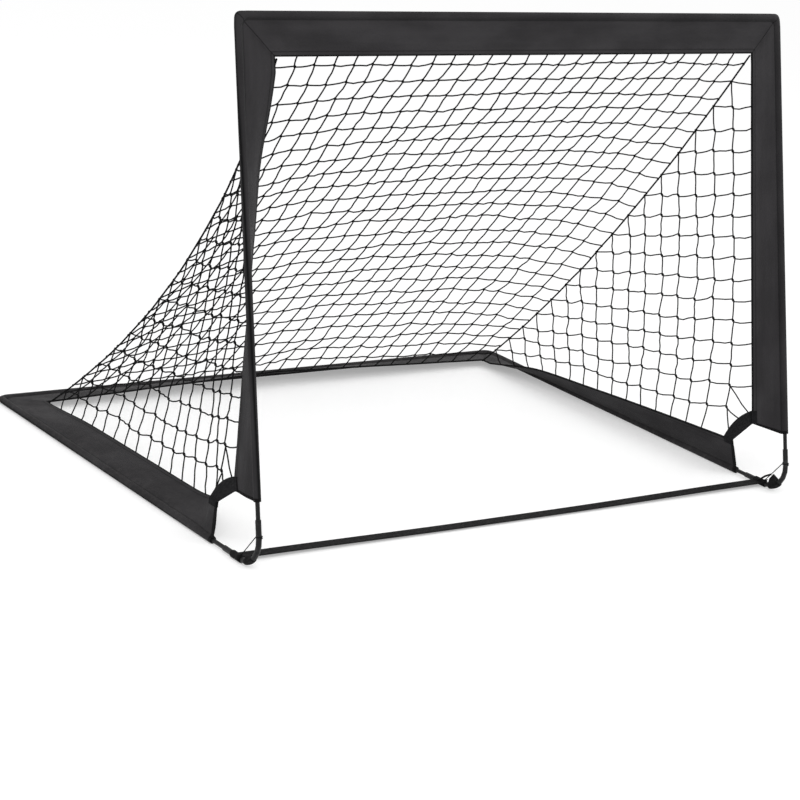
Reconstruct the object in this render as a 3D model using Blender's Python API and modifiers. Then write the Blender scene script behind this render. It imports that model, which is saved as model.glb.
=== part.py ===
"""A folding soccer goal: thin rods in fabric sleeves, bent corner tubes, and square mesh on the back and sides.

Metres, +Z up. The origin is on the ground under the middle of the ground strap, which marks the goal line.
+X runs along the goal line and +Y runs into the goal. The front arch leans back, so its two posts share one
direction, POST_DIRECTION. Distances along a post and depths along a side bar are counted from the front corner
where their axes would meet.

Every piece is made for the left and the right side by one function. The two halves of the crossbar meet at the
middle of the goal and so do the two halves of the back bar, where the frame parts when it is folded.
"""

import math

import bmesh
import bpy
from mathutils import Matrix, Vector

# Driving sizes of the goal. The depth is counted from the front corners, as the side bars' own depths are
GOAL_WIDTH = 1.200
POST_LENGTH = 0.914
POST_LEAN = math.radians(14.0)
GOAL_DEPTH = 0.955

# Rods and tubes
ROD_RADIUS = 0.00375
TUBE_RADIUS = 0.0050
TUBE_WALL = 0.00095
TUBE_SIDES = 12
SOCKET_DEPTH = 0.025
FERRULE_LENGTH = 0.060
CENTRE_FERRULE_LENGTH = 0.030

# Bent corner tubes: the bend's radius, and each leg's length from the corner that its axes would meet in
FRONT_BEND_RADIUS = 0.0425
FRONT_POST_LEG = 0.085
FRONT_SIDE_LEG = 0.113
HIDDEN_BEND_RADIUS = 0.018
HIDDEN_LEG = 0.100
BEND_STEPS = 3
SMOOTH_ANGLE = math.radians(40.0)

# Fabric sleeves: a tunnel round the rod and a flap that the net is sewn to
SLEEVE_WIDTH = 0.075
TUNNEL_RADIUS = 0.0068
TUNNEL_WALL = 0.00115
TUNNEL_POINTS = 10
FLAP_THICKNESS = 0.0024
BACK_STEPS = 6
REAR_FLAP_RISE = math.radians(6.5)
BACK_FLAP_RISE = math.radians(21.0)

# How far the flaps have turned inwards, in degrees, at shares of the way from the front to the far corner.
# The net pulls the two sides unlike each other. The keys are the sides, -1 for left and 1 for right
POST_TURNS = {-1: ((0.0, 0.0), (0.8, 56.0), (1.0, 90.0)), 1: ((0.0, 71.0), (1.0, 90.0))}
SIDE_TURNS = {
    -1: ((0.0, 2.0), (0.06, 48.0), (0.15, 66.0), (0.8, 74.0), (1.0, 83.5)),
    1: ((0.0, 20.0), (0.8, 56.0), (1.0, 83.5)),
}

# Where the sleeves start and part, along the post and along the side
POST_SLEEVE_START = 0.115
POST_PART = 0.460
SIDE_SLEEVE_START = 0.150
SIDE_PART = 0.500

# Corner webbing, tie cord and ground strap
WEB_WIDTH = 0.025
WEB_BULGE = 0.008
WEB_STEPS = 6
TIE_POST = 0.0555
TIE_SIDE = 0.0600
TIE_RADIUS = 0.0012
CORD_SIDES = 8
STRAP_WIDTH = 0.025
STRAP_THICKNESS = 0.0014
STRAP_START = 0.0615
STRAP_RISE = 0.300

# Nets
NET_CORD = 0.0030
ROOF_COLUMNS = 12
ROOF_ROWS = 12
SIDE_CELLS = 9
EDGE_CORD_RADIUS = 0.0020
EDGE_CORD_POINTS = 13
EDGE_SAG = 0.056
EDGE_PULL = 0.034
ROOF_CROWN = 0.050

# Clearance between neighbours, and the hinge line behind the crossbar
CLEARANCE = 0.0003
NET_GAP = 0.0006
WEB_NET_GAP = 0.0040
EDGE_GAP = 0.0015
NET_CORNER = 0.014
HINGE_GAP = 0.0003
WELD_GAP = 0.00001
EMPTY_SIZE = 0.05

# Places worked out from the sizes
AXIS_X = GOAL_WIDTH / 2 - TUNNEL_RADIUS
AXIS_Z = TUNNEL_RADIUS
FOOT_Y = -STRAP_START - STRAP_WIDTH / 2
REAR_DEPTH = GOAL_DEPTH - TUNNEL_RADIUS
POST_TOP = POST_LENGTH - 2 * TUNNEL_RADIUS
REACH = SLEEVE_WIDTH - TUNNEL_RADIUS
POST_DIRECTION = Vector((0.0, math.sin(POST_LEAN), math.cos(POST_LEAN)))
ARCH_BACK = Vector((0.0, math.cos(POST_LEAN), -math.sin(POST_LEAN)))
RIGHT = Vector((1.0, 0.0, 0.0))
BACK = Vector((0.0, 1.0, 0.0))
UP = Vector((0.0, 0.0, 1.0))
SIDES = {"left": -1, "right": 1}

GOAL = "folding_soccer_goal"


def clear_scene():
    """Remove every object, so that the goal is alone."""
    for item in list(bpy.data.objects):
        bpy.data.objects.remove(item, do_unlink=True)


def new_collection(name):
    """Make a collection in the scene."""
    made = bpy.data.collections.new(name)
    bpy.context.scene.collection.children.link(made)
    return made


def new_material(name, colour, roughness, metallic=0.0):
    """Make a material with one plain surface."""
    made = bpy.data.materials.new(name)
    made.use_nodes = True
    surface = made.node_tree.nodes["Principled BSDF"]
    surface.inputs["Base Color"].default_value = (*colour, 1.0)
    surface.inputs["Roughness"].default_value = roughness
    surface.inputs["Metallic"].default_value = metallic
    made.diffuse_color = (*colour, 1.0)
    return made


def place(item, name, material, parent):
    """Name an object, give it its own material and hang it under the empty of its moving body."""
    item.name = name
    item.data.name = name
    item.data.materials.clear()
    item.data.materials.append(material)
    for holder in list(item.users_collection):
        holder.objects.unlink(item)
    GOAL_PARTS.objects.link(item)
    bpy.context.view_layer.update()
    item.parent = parent
    item.matrix_parent_inverse = parent.matrix_world.inverted()
    return item


def new_empty(name, location, axis, parent=None):
    """Make the empty of a moving body, on its joint, with its local Z along the joint's axis."""
    made = bpy.data.objects.new(name, None)
    made.empty_display_size = EMPTY_SIZE
    GOAL_PARTS.objects.link(made)
    made.location = location
    made.rotation_euler = axis.to_track_quat("Z", "Y").to_euler()
    bpy.context.view_layer.update()
    if parent is not None:
        made.parent = parent
        made.matrix_parent_inverse = parent.matrix_world.inverted()
        bpy.context.view_layer.update()
    return made


def mesh_object(vertices, faces):
    """Make an object from a closed loft, with its faces pointing out."""
    mesh = bpy.data.meshes.new("loft")
    mesh.from_pydata([tuple(point) for point in vertices], [], faces)
    build = bmesh.new()
    build.from_mesh(mesh)
    bmesh.ops.recalc_face_normals(build, faces=build.faces)
    build.to_mesh(mesh)
    build.free()
    made = bpy.data.objects.new("loft", mesh)
    bpy.context.scene.collection.objects.link(made)
    return made


def curve_object(points, radius, sides, caps=True):
    """Make a round bar with an even number of sides along a line of points."""
    curve = bpy.data.curves.new("bar", "CURVE")
    curve.dimensions = "3D"
    curve.bevel_depth = radius
    curve.bevel_resolution = sides // 2 - 2
    curve.use_fill_caps = caps
    line = curve.splines.new("POLY")
    line.points.add(len(points) - 1)
    for point, place_on_line in zip(line.points, points):
        point.co = (*place_on_line, 1.0)
    made = bpy.data.objects.new("bar", curve)
    bpy.context.scene.collection.objects.link(made)
    return made


def flat_outline(points, thickness):
    """Make a flat piece from an outline, with its middle in the local XY plane."""
    curve = bpy.data.curves.new("outline", "CURVE")
    curve.dimensions = "2D"
    curve.fill_mode = "BOTH"
    curve.extrude = thickness / 2
    line = curve.splines.new("POLY")
    line.use_cyclic_u = True
    line.points.add(len(points) - 1)
    for point, (across, up) in zip(line.points, points):
        point.co = (across, up, 0.0, 1.0)
    made = bpy.data.objects.new("outline", curve)
    bpy.context.scene.collection.objects.link(made)
    return made


def as_mesh(item):
    """Turn a curve object into a mesh object with its caps welded on."""
    bpy.context.view_layer.update()
    evaluated = item.evaluated_get(bpy.context.evaluated_depsgraph_get())
    mesh = bpy.data.meshes.new_from_object(evaluated)
    build = bmesh.new()
    build.from_mesh(mesh)
    bmesh.ops.remove_doubles(build, verts=build.verts, dist=WELD_GAP)
    bmesh.ops.recalc_face_normals(build, faces=build.faces)
    build.to_mesh(mesh)
    build.free()
    made = bpy.data.objects.new("bar", mesh)
    made.matrix_world = item.matrix_world
    bpy.context.scene.collection.objects.link(made)
    bpy.data.objects.remove(item, do_unlink=True)
    return made


def shade_round(item):
    """Shade a round piece smooth, with its sharp edges kept."""
    item.data.shade_smooth()
    item.data.set_sharp_from_angle(angle=SMOOTH_ANGLE)


def rod(name, start, end, radius, material, parent, sides=TUBE_SIDES):
    """Make a straight solid rod between two points."""
    along = end - start
    bpy.ops.mesh.primitive_cylinder_add(
        vertices=sides,
        radius=radius,
        depth=along.length,
        location=(start + end) / 2,
        rotation=along.to_track_quat("Z", "Y").to_euler(),
    )
    made = place(bpy.context.object, name, material, parent)
    shade_round(made)
    return made


def add_wall(item, thickness):
    """Give an open surface a wall on its inner side."""
    wall = item.modifiers.new("wall", "SOLIDIFY")
    wall.thickness = thickness
    wall.offset = -1.0
    wall.use_even_offset = True


def collar(name, start, end, radius, wall, material, parent):
    """Make a straight hollow tube between two points."""
    along = end - start
    bpy.ops.mesh.primitive_cylinder_add(
        vertices=TUBE_SIDES,
        radius=radius,
        depth=along.length,
        end_fill_type="NOTHING",
        location=(start + end) / 2,
        rotation=along.to_track_quat("Z", "Y").to_euler(),
    )
    made = place(bpy.context.object, name, material, parent)
    add_wall(made, wall)
    shade_round(made)
    return made


def arch(share):
    """Return how far an even curve between two ends has risen at a share of its span: 1 in the middle."""
    return 4 * share * (1 - share)


def bend(corner, arriving, leaving, radius, steps):
    """Return the points of the arc that rounds a corner between two directions."""
    turn = arriving.angle(leaving)
    tangent = radius * math.tan(turn / 2)
    start = corner - arriving * tangent
    inward = (leaving - arriving * arriving.dot(leaving)).normalized()
    centre = start + inward * radius
    points = []
    for step in range(steps + 1):
        angle = turn * step / steps
        points.append(centre + (arriving * math.sin(angle) - inward * math.cos(angle)) * radius)
    return points


def bent_tube(name, corner, arriving, leaving, legs, radius, material, parent):
    """Make a hollow tube with two straight legs and a bend, open at both ends as sockets for the rods."""
    first = corner - arriving * legs[0]
    last = corner + leaving * legs[1]
    points = [first] + bend(corner, arriving, leaving, radius, 2 * BEND_STEPS) + [last]
    made = as_mesh(curve_object(points, TUBE_RADIUS, TUBE_SIDES, caps=False))
    place(made, name, material, parent)
    add_wall(made, TUBE_WALL)
    shade_round(made)
    return made


def post_point(side, distance):
    """Return the point on a post's axis at a distance from its foot."""
    return Vector((side * AXIS_X, FOOT_Y, AXIS_Z)) + POST_DIRECTION * distance


def side_point(side, depth):
    """Return the point on a side bar's axis at a depth behind the front corner."""
    return Vector((side * AXIS_X, FOOT_Y + depth, AXIS_Z))


def crossbar_point(x):
    """Return the point on the crossbar's axis at a place along the goal."""
    return Vector((x, FOOT_Y, AXIS_Z)) + POST_DIRECTION * POST_TOP


def back_point(x):
    """Return the point on the back bar's axis at a place along the goal."""
    return Vector((x, FOOT_Y + REAR_DEPTH, AXIS_Z))


def section(station):
    """Return the outline and the bore of a sleeve at one station.

    A station is the tunnel's centre, the tunnel's direction there, and the middle of the flap's free edge.
    """
    centre, direction, edge = station
    across = edge - centre
    flap = (across - direction * across.dot(direction)).normalized()
    normal = direction.cross(flap)
    half = FLAP_THICKNESS / 2
    opening = math.asin(half / TUNNEL_RADIUS)
    outline = []
    bore = []
    for step in range(TUNNEL_POINTS):
        angle = opening + (2 * math.pi - 2 * opening) * step / (TUNNEL_POINTS - 1)
        spoke = flap * math.cos(angle) + normal * math.sin(angle)
        outline.append(centre + spoke * TUNNEL_RADIUS)
        bore.append(centre + spoke * (TUNNEL_RADIUS - TUNNEL_WALL))
    outline.append(edge - normal * half)
    outline.append(edge + normal * half)
    return outline, bore


def sleeve(name, stations, material, parent):
    """Loft a tunnel and its flap through the stations. The tunnel is open at both ends.

    Both sides of the flap are split along the same diagonals, so that a twisted flap keeps its thickness.
    """
    vertices = []
    for station in stations:
        outline, bore = section(station)
        vertices += outline + bore
    rim = TUNNEL_POINTS + 2
    ring = rim + TUNNEL_POINTS
    last = TUNNEL_POINTS - 1
    faces = []
    for index in range(len(stations) - 1):
        near = index * ring
        far = near + ring
        for step in range(last):
            faces.append((near + step, near + step + 1, far + step + 1, far + step))
        for step in range(TUNNEL_POINTS):
            after = (step + 1) % TUNNEL_POINTS
            faces.append((near + rim + step, far + rim + step, far + rim + after, near + rim + after))
        faces.append((near + last, near + last + 1, far + last + 1))
        faces.append((near + last, far + last + 1, far + last))
        faces.append((near + last + 1, near + last + 2, far + last + 2, far + last + 1))
        faces.append((near, far, far + last + 2))
        faces.append((near, far + last + 2, near + last + 2))
    for base in (0, (len(stations) - 1) * ring):
        for step in range(last):
            bore_step = base + rim + step
            faces.append((base + step, base + step + 1, bore_step + 1, bore_step))
        faces.append((base + last, base + last + 1, base + last + 2, base, base + rim, base + rim + last))
    made = place(mesh_object(vertices, faces), name, material, parent)
    shade_round(made)
    return made


def turned(turns, share):
    """Return the angle in radians that a flap has turned at a share of its way, in straight steps."""
    share = min(max(share, 0.0), 1.0)
    for (near, low), (far, high) in zip(turns, turns[1:]):
        if share <= far:
            return math.radians(low + (high - low) * (share - near) / (far - near))
    return math.radians(turns[-1][1])


def post_flap(side, distance):
    """Return the direction of a post's flap: backwards at the foot, inwards at the top."""
    start = POST_SLEEVE_START + WEB_WIDTH
    end = POST_TOP - REACH - WEB_WIDTH
    angle = turned(POST_TURNS[side], (distance - start) / (end - start))
    return ARCH_BACK * math.cos(angle) - RIGHT * side * math.sin(angle)


def side_flap(side, depth):
    """Return the direction of a side bar's flap: upwards at the front, inwards over the ground at the rear."""
    start = SIDE_SLEEVE_START + WEB_WIDTH
    end = REAR_DEPTH - REACH - WEB_WIDTH
    angle = turned(SIDE_TURNS[side], (depth - start) / (end - start))
    return UP * math.cos(angle) - RIGHT * side * math.sin(angle)


def back_flap(x):
    """Return the direction of the back bar's flap: forwards, rising more in the middle than at the corners."""
    share = min(abs(x) / (AXIS_X - REACH), 1.0)
    angle = BACK_FLAP_RISE - (BACK_FLAP_RISE - REAR_FLAP_RISE) * share
    return UP * math.sin(angle) - BACK * math.cos(angle)


def post_edge(side, distance):
    """Return the point on the free edge of a post's flap."""
    return post_point(side, distance) + post_flap(side, distance) * REACH


def side_edge(side, depth):
    """Return the point on the free edge of a side bar's flap."""
    return side_point(side, depth) + side_flap(side, depth) * REACH


def crossbar_edge(x):
    """Return the point on the free edge of the crossbar's flap."""
    return crossbar_point(x) - POST_DIRECTION * REACH


def back_edge(x):
    """Return the point on the free edge of the back bar's flap."""
    return back_point(x) + back_flap(x) * REACH


def top_mitre(side):
    """Return the inner corner where a post's flap meets the crossbar's flap."""
    return crossbar_edge(side * (AXIS_X - REACH))


def rear_mitre(side):
    """Return the inner corner where a side bar's flap meets the back bar's flap."""
    return side_point(side, REAR_DEPTH - REACH) + side_flap(side, REAR_DEPTH) * REACH


def mitred_end(corner, arriving, leaving, mitre, edge_start):
    """Return the stations that carry a sleeve round half a corner bend to its mitre.

    The tunnel follows the bend, while the flap's edge closes on the inner corner. The last station is set back
    by half the clearance from the mitre's plane.
    """
    arc = bend(corner, arriving, leaving, HIDDEN_BEND_RADIUS, 2 * BEND_STEPS)
    turn = arriving.angle(leaving)
    inward = (leaving - arriving * arriving.dot(leaving)).normalized()
    stations = []
    for step in range(BEND_STEPS + 1):
        angle = turn * step / (2 * BEND_STEPS)
        direction = arriving * math.cos(angle) + inward * math.sin(angle)
        share = (BEND_STEPS + step) / (2 * BEND_STEPS)
        stations.append((arc[step], direction, edge_start.lerp(mitre, share)))
    centre, direction, edge = stations[-1]
    set_back = direction * (CLEARANCE / 2)
    stations[-1] = (centre - set_back, direction, edge - set_back)
    return stations


def web_step(side, direction):
    """Return how far along an edge a side net starts past the webbing, to clear the webbing's bulge."""
    post_end = post_edge(side, POST_SLEEVE_START + WEB_WIDTH)
    side_end = side_edge(side, SIDE_SLEEVE_START + WEB_WIDTH)
    return (WEB_BULGE + WEB_NET_GAP + NET_CORD / 2) / math.sin((post_end - side_end).angle(direction))


def net_places(side, start, direction, corner):
    """Return the places along a sleeve where the side net is sewn to it, from the webbing to the far corner."""
    first = start + WEB_WIDTH + web_step(side, direction)
    last = corner - REACH - EDGE_CORD_RADIUS - NET_CORNER
    return [first + (last - first) * index / (SIDE_CELLS - 1) for index in range(SIDE_CELLS)]


def post_places(side):
    """Return the distances up a post where the side net is sewn to its flap."""
    return net_places(side, POST_SLEEVE_START, POST_DIRECTION, POST_TOP)


def side_places(side):
    """Return the depths along a side bar where the side net is sewn to its flap."""
    return net_places(side, SIDE_SLEEVE_START, BACK, REAR_DEPTH)


def post_stations(side, low, high):
    """Return the stations of a post's sleeve, at its two ends and wherever the net is sewn on between them."""
    places = [POST_SLEEVE_START + WEB_WIDTH] + post_places(side)
    distances = [low] + [place for place in places if low < place < high] + [high]
    return [(post_point(side, place), POST_DIRECTION, post_edge(side, place)) for place in distances]


def side_stations(side, near, far):
    """Return the stations of a side bar's sleeve: its two ends and the places where the net is sewn on."""
    places = [SIDE_SLEEVE_START + WEB_WIDTH] + side_places(side)
    depths = [near] + [place for place in places if near < place < far] + [far]
    return [(side_point(side, place), BACK, side_edge(side, place)) for place in depths]


def bar_stations(point, edge, side, steps):
    """Return the stations of half a crossbar or back bar sleeve, from the middle of the goal outwards."""
    outwards = RIGHT * side
    end = AXIS_X - REACH - WEB_WIDTH
    stations = []
    for step in range(steps + 1):
        x = side * (CLEARANCE / 2 + (end - CLEARANCE / 2) * step / steps)
        stations.append((point(x), outwards, edge(x)))
    return stations


def make_sleeves(label, side, bodies):
    """Make the six sleeves of one side of the goal."""
    inwards = -RIGHT * side
    fabric = MATERIALS["sleeve_fabric"]
    half = CLEARANCE / 2
    top_start = POST_TOP - REACH - WEB_WIDTH
    rear_start = REAR_DEPTH - REACH - WEB_WIDTH

    lower = post_stations(side, POST_SLEEVE_START, POST_PART - half)
    sleeve(f"post_sleeve_lower_{label}", lower, fabric, bodies["end"])

    upper = post_stations(side, POST_PART + half, top_start)
    corner = post_point(side, POST_TOP)
    upper += mitred_end(corner, POST_DIRECTION, inwards, top_mitre(side), post_edge(side, top_start))
    sleeve(f"post_sleeve_upper_{label}", upper, fabric, bodies["arch"])

    crossbar = bar_stations(crossbar_point, crossbar_edge, side, 1)
    crossbar += mitred_end(corner, -inwards, -POST_DIRECTION, top_mitre(side), crossbar[-1][2])
    sleeve(f"crossbar_sleeve_{label}", crossbar, fabric, bodies["arch"])

    front = side_stations(side, SIDE_SLEEVE_START, SIDE_PART - half)
    sleeve(f"side_sleeve_front_{label}", front, fabric, bodies["end"])

    rear = side_stations(side, SIDE_PART + half, rear_start)
    corner = side_point(side, REAR_DEPTH)
    rear += mitred_end(corner, BACK, inwards, rear_mitre(side), side_edge(side, rear_start))
    sleeve(f"side_sleeve_rear_{label}", rear, fabric, bodies["base"])

    back = bar_stations(back_point, back_edge, side, BACK_STEPS)
    back += mitred_end(corner, -inwards, -BACK, rear_mitre(side), back[-1][2])
    sleeve(f"back_sleeve_{label}", back, fabric, bodies["base"])


def make_rods(label, side, bodies):
    """Make the rods of one side of the goal, from one socket to the next."""
    black = MATERIALS["rod_black"]
    half = CLEARANCE / 2
    socket = HIDDEN_LEG - SOCKET_DEPTH
    rods = {
        "post_rod_lower": (
            post_point(side, FRONT_POST_LEG - SOCKET_DEPTH), post_point(side, POST_PART - half), "end",
        ),
        "post_rod_upper": (post_point(side, POST_PART + half), post_point(side, POST_TOP - socket), "arch"),
        "crossbar_rod": (crossbar_point(side * half), crossbar_point(side * (AXIS_X - socket)), "arch"),
        "side_rod_front": (
            side_point(side, FRONT_SIDE_LEG - SOCKET_DEPTH), side_point(side, SIDE_PART - half), "end",
        ),
        "side_rod_rear": (side_point(side, SIDE_PART + half), side_point(side, REAR_DEPTH - socket), "base"),
        "back_rod": (back_point(side * half), back_point(side * (AXIS_X - socket)), "base"),
    }
    for name, (start, end, body) in rods.items():
        rod(f"{name}_{label}", start, end, ROD_RADIUS, black, bodies[body])


def make_ferrules(label, side, bodies):
    """Make the ferrules where rods meet. Each is fixed to one rod, and the next rod turns or ends in it."""
    steel = MATERIALS["ferrule_steel"]
    reach = FERRULE_LENGTH / 2
    half = CLEARANCE / 2
    ferrules = {
        "post_ferrule": (post_point(side, POST_PART - reach), post_point(side, POST_PART + reach), "end"),
        "side_ferrule": (side_point(side, SIDE_PART - reach), side_point(side, SIDE_PART + reach), "end"),
        "crossbar_ferrule": (
            crossbar_point(side * half), crossbar_point(side * (half + CENTRE_FERRULE_LENGTH)), "arch",
        ),
        "back_ferrule": (back_point(side * half), back_point(side * (half + CENTRE_FERRULE_LENGTH)), "base"),
    }
    for name, (start, end, body) in ferrules.items():
        collar(f"{name}_{label}", start, end, TUBE_RADIUS, TUBE_WALL, steel, bodies[body])


def make_elbows(label, side, bodies):
    """Make the three bent corner tubes of one side of the goal."""
    inwards = -RIGHT * side
    hidden = (HIDDEN_LEG, HIDDEN_LEG)
    bent_tube(
        f"front_elbow_{label}", post_point(side, 0.0), -POST_DIRECTION, BACK,
        (FRONT_POST_LEG, FRONT_SIDE_LEG), FRONT_BEND_RADIUS, MATERIALS["elbow_black"], bodies["end"],
    )
    bent_tube(
        f"top_elbow_{label}", post_point(side, POST_TOP), POST_DIRECTION, inwards,
        hidden, HIDDEN_BEND_RADIUS, MATERIALS["elbow_steel"], bodies["arch"],
    )
    bent_tube(
        f"rear_elbow_{label}", side_point(side, REAR_DEPTH), BACK, inwards,
        hidden, HIDDEN_BEND_RADIUS, MATERIALS["elbow_steel"], bodies["base"],
    )


def make_corner_web(label, side, bodies):
    """Make the webbing across the gap between the post's flap and the side bar's flap at the front corner."""
    starts = (post_edge(side, POST_SLEEVE_START), side_edge(side, SIDE_SLEEVE_START))
    along = (starts[1] - starts[0]).normalized()
    half = FLAP_THICKNESS / 2
    seats = []
    for flap in (post_flap(side, POST_SLEEVE_START), side_flap(side, SIDE_SLEEVE_START)):
        seats.append(flap * (CLEARANCE + half * math.sin(along.angle(flap))))
    low = (starts[0] + seats[0], starts[1] + seats[1])
    high = (low[0] + POST_DIRECTION * WEB_WIDTH, low[1] + BACK * WEB_WIDTH)
    chord = (high[1] - high[0]).normalized()
    out = POST_DIRECTION + BACK
    out = (out - chord * out.dot(chord)).normalized()
    vertices = []
    for step in range(WEB_STEPS + 1):
        share = step / WEB_STEPS
        inner = low[0].lerp(low[1], share)
        outer = high[0].lerp(high[1], share) + out * WEB_BULGE * arch(share)
        normal = along.cross(outer - inner).normalized() * half
        vertices += [inner - normal, outer - normal, outer + normal, inner + normal]
    faces = [(0, 1, 2, 3)]
    for near in range(0, 4 * WEB_STEPS, 4):
        for corner in range(4):
            after = (corner + 1) % 4
            faces.append((near + corner, near + after, near + after + 4, near + corner + 4))
    last = 4 * WEB_STEPS
    faces.append((last, last + 1, last + 2, last + 3))
    place(mesh_object(vertices, faces), f"corner_web_{label}", MATERIALS["webbing"], bodies["end"])


def make_tie_cord(label, side, bodies):
    """Make the tie cord that spans the front bend from leg to leg."""
    on_post = post_point(side, TIE_POST)
    on_side = side_point(side, TIE_SIDE)
    along = (on_side - on_post).normalized()
    seat = TUBE_RADIUS + CLEARANCE
    start = on_post + along * ((seat + TIE_RADIUS) / math.sin(along.angle(-POST_DIRECTION)))
    end = on_side - along * ((seat + TIE_RADIUS) / math.sin(along.angle(BACK)))
    rod(f"tie_cord_{label}", start, end, TIE_RADIUS, MATERIALS["cord_black"], bodies["end"], CORD_SIDES)


def make_strap_loop(label, side, bodies):
    """Make the webbing loop that holds the ground strap to the front bend."""
    start = side_point(side, STRAP_START)
    end = side_point(side, STRAP_START + STRAP_WIDTH)
    radius = TUBE_RADIUS + CLEARANCE + STRAP_THICKNESS
    collar(f"strap_loop_{label}", start, end, radius, STRAP_THICKNESS, MATERIALS["webbing"], bodies["end"])


def make_ground_strap(body):
    """Make the strap that lies along the goal line and rises at both ends to meet its loops."""
    loop_radius = TUBE_RADIUS + CLEARANCE + STRAP_THICKNESS
    end = AXIS_X - loop_radius - CLEARANCE
    middle = STRAP_THICKNESS / 2
    line = [(-end, AXIS_Z), (STRAP_RISE - end, middle), (end - STRAP_RISE, middle), (end, AXIS_Z)]
    outline = [(x, z - middle) for x, z in line] + [(x, z + middle) for x, z in reversed(line)]
    made = flat_outline(outline, STRAP_WIDTH)
    made.matrix_world = Matrix((RIGHT, -UP, BACK)).to_4x4()
    place(as_mesh(made), "ground_strap", MATERIALS["webbing"], body)


def edge_line(side, share):
    """Return the point on the sagging edge between the side net and the back net, from top to rear."""
    inset = EDGE_CORD_RADIUS + NET_GAP
    top = top_mitre(side) - (RIGHT * side + POST_DIRECTION) * inset
    rear = rear_mitre(side) - (RIGHT * side + BACK) * inset
    along = (rear - top).normalized()
    sag = along.cross(RIGHT).normalized()
    if sag.z > 0:
        sag = -sag
    return top.lerp(rear, share) + (sag * EDGE_SAG - RIGHT * side * EDGE_PULL) * arch(share)


def net_step():
    """Return the distance from an edge cord's axis to the edge of the net beside it."""
    return EDGE_CORD_RADIUS + EDGE_GAP + NET_CORD / 2


def wire_net(name, vertices, faces, body):
    """Turn a cage of cells into a net with a cord along each edge of the cage."""
    made = place(mesh_object(vertices, faces), name, MATERIALS["net_cord"], body)
    cords = made.modifiers.new("cords", "WIREFRAME")
    cords.thickness = NET_CORD
    cords.use_even_offset = True
    cords.use_boundary = True
    cords.use_replace = True
    return made


def roof_point(across, down):
    """Return a point of the back net: a patch between the crossbar, the back bar and the two edge cords."""
    inset = net_step()
    seam = NET_GAP + NET_CORD / 2

    def side_line(side, share):
        return edge_line(side, share) - RIGHT * side * inset

    def bar_x(corner, share):
        return corner.x * (2 * share - 1)

    def top_line(share):
        return crossbar_edge(bar_x(side_line(1, 0.0), share)) - POST_DIRECTION * seam

    def rear_line(share):
        return back_edge(bar_x(side_line(1, 1.0), share)) + back_flap(0.0) * seam

    rows = side_line(-1, down).lerp(side_line(1, down), across)
    columns = top_line(across).lerp(rear_line(across), down)
    corners_top = side_line(-1, 0.0).lerp(side_line(1, 0.0), across)
    corners_rear = side_line(-1, 1.0).lerp(side_line(1, 1.0), across)
    point = rows + columns - corners_top.lerp(corners_rear, down)
    slope = (rear_line(0.5) - top_line(0.5)).normalized()
    crown = RIGHT.cross(slope)
    if crown.z < 0:
        crown = -crown
    return point + crown * ROOF_CROWN * arch(across) * arch(down)


def make_roof_net(body):
    """Make the net that slopes from the crossbar down to the back bar."""
    vertices = []
    for row in range(ROOF_ROWS + 1):
        for column in range(ROOF_COLUMNS + 1):
            vertices.append(roof_point(column / ROOF_COLUMNS, row / ROOF_ROWS))
    faces = []
    width = ROOF_COLUMNS + 1
    for row in range(ROOF_ROWS):
        for column in range(ROOF_COLUMNS):
            start = row * width + column
            faces.append((start, start + 1, start + width + 1, start + width))
    wire_net("roof_net", vertices, faces, body)


def side_net_point(side, column, row):
    """Return a knot of a side net. Columns count back from the post and rows count up from the side bar."""
    seam = NET_GAP + NET_CORD / 2
    last = SIDE_CELLS
    distances = post_places(side)
    depths = side_places(side)

    def on_post(index):
        distance = distances[index - 1]
        return post_edge(side, distance) + post_flap(side, distance) * seam

    def on_side(index):
        depth = depths[index - 1]
        return side_edge(side, depth) + side_flap(side, depth) * seam

    def on_edge(index):
        if index == 0:
            return on_post(last)
        if index == last:
            return on_side(last)
        inner = edge_line(side, index / last)
        along = edge_line(side, (index + 0.5) / last) - edge_line(side, (index - 0.5) / last)
        outward = along.cross(RIGHT).normalized()
        if outward.z > 0:
            outward = -outward
        return inner + outward * net_step()

    if row == 0:
        return on_side(column)
    if column == 0:
        return on_post(row)
    if column + row == last:
        return on_edge(column)
    along_row = on_post(row).lerp(on_edge(last - row), column / (last - row))
    up_column = on_side(column).lerp(on_edge(column), row / (last - column))
    return (along_row * row + up_column * column) / (row + column)


def make_side_net(label, side, bodies):
    """Make a side net: square cells, cut to triangles along the edge cord and at the corner webbing."""
    index = {}
    vertices = []
    for row in range(SIDE_CELLS + 1):
        for column in range(SIDE_CELLS + 1 - row):
            if row + column > 0:
                index[column, row] = len(vertices)
                vertices.append(side_net_point(side, column, row))
    faces = [(index[1, 0], index[1, 1], index[0, 1])]
    for row in range(SIDE_CELLS):
        for column in range(SIDE_CELLS - row):
            if row + column == 0:
                continue
            corner = index[column, row]
            if row + column == SIDE_CELLS - 1:
                faces.append((corner, index[column + 1, row], index[column, row + 1]))
            else:
                faces.append((
                    corner, index[column + 1, row], index[column + 1, row + 1], index[column, row + 1],
                ))
    wire_net(f"side_net_{label}", vertices, faces, bodies["end"])


def make_edge_cord(label, side, bodies):
    """Make the thicker cord where the side net meets the back net."""
    points = [edge_line(side, step / (EDGE_CORD_POINTS - 1)) for step in range(EDGE_CORD_POINTS)]
    cord = as_mesh(curve_object(points, EDGE_CORD_RADIUS, CORD_SIDES))
    place(cord, f"edge_cord_{label}", MATERIALS["cord_black"], bodies["end"])
    shade_round(cord)


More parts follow.
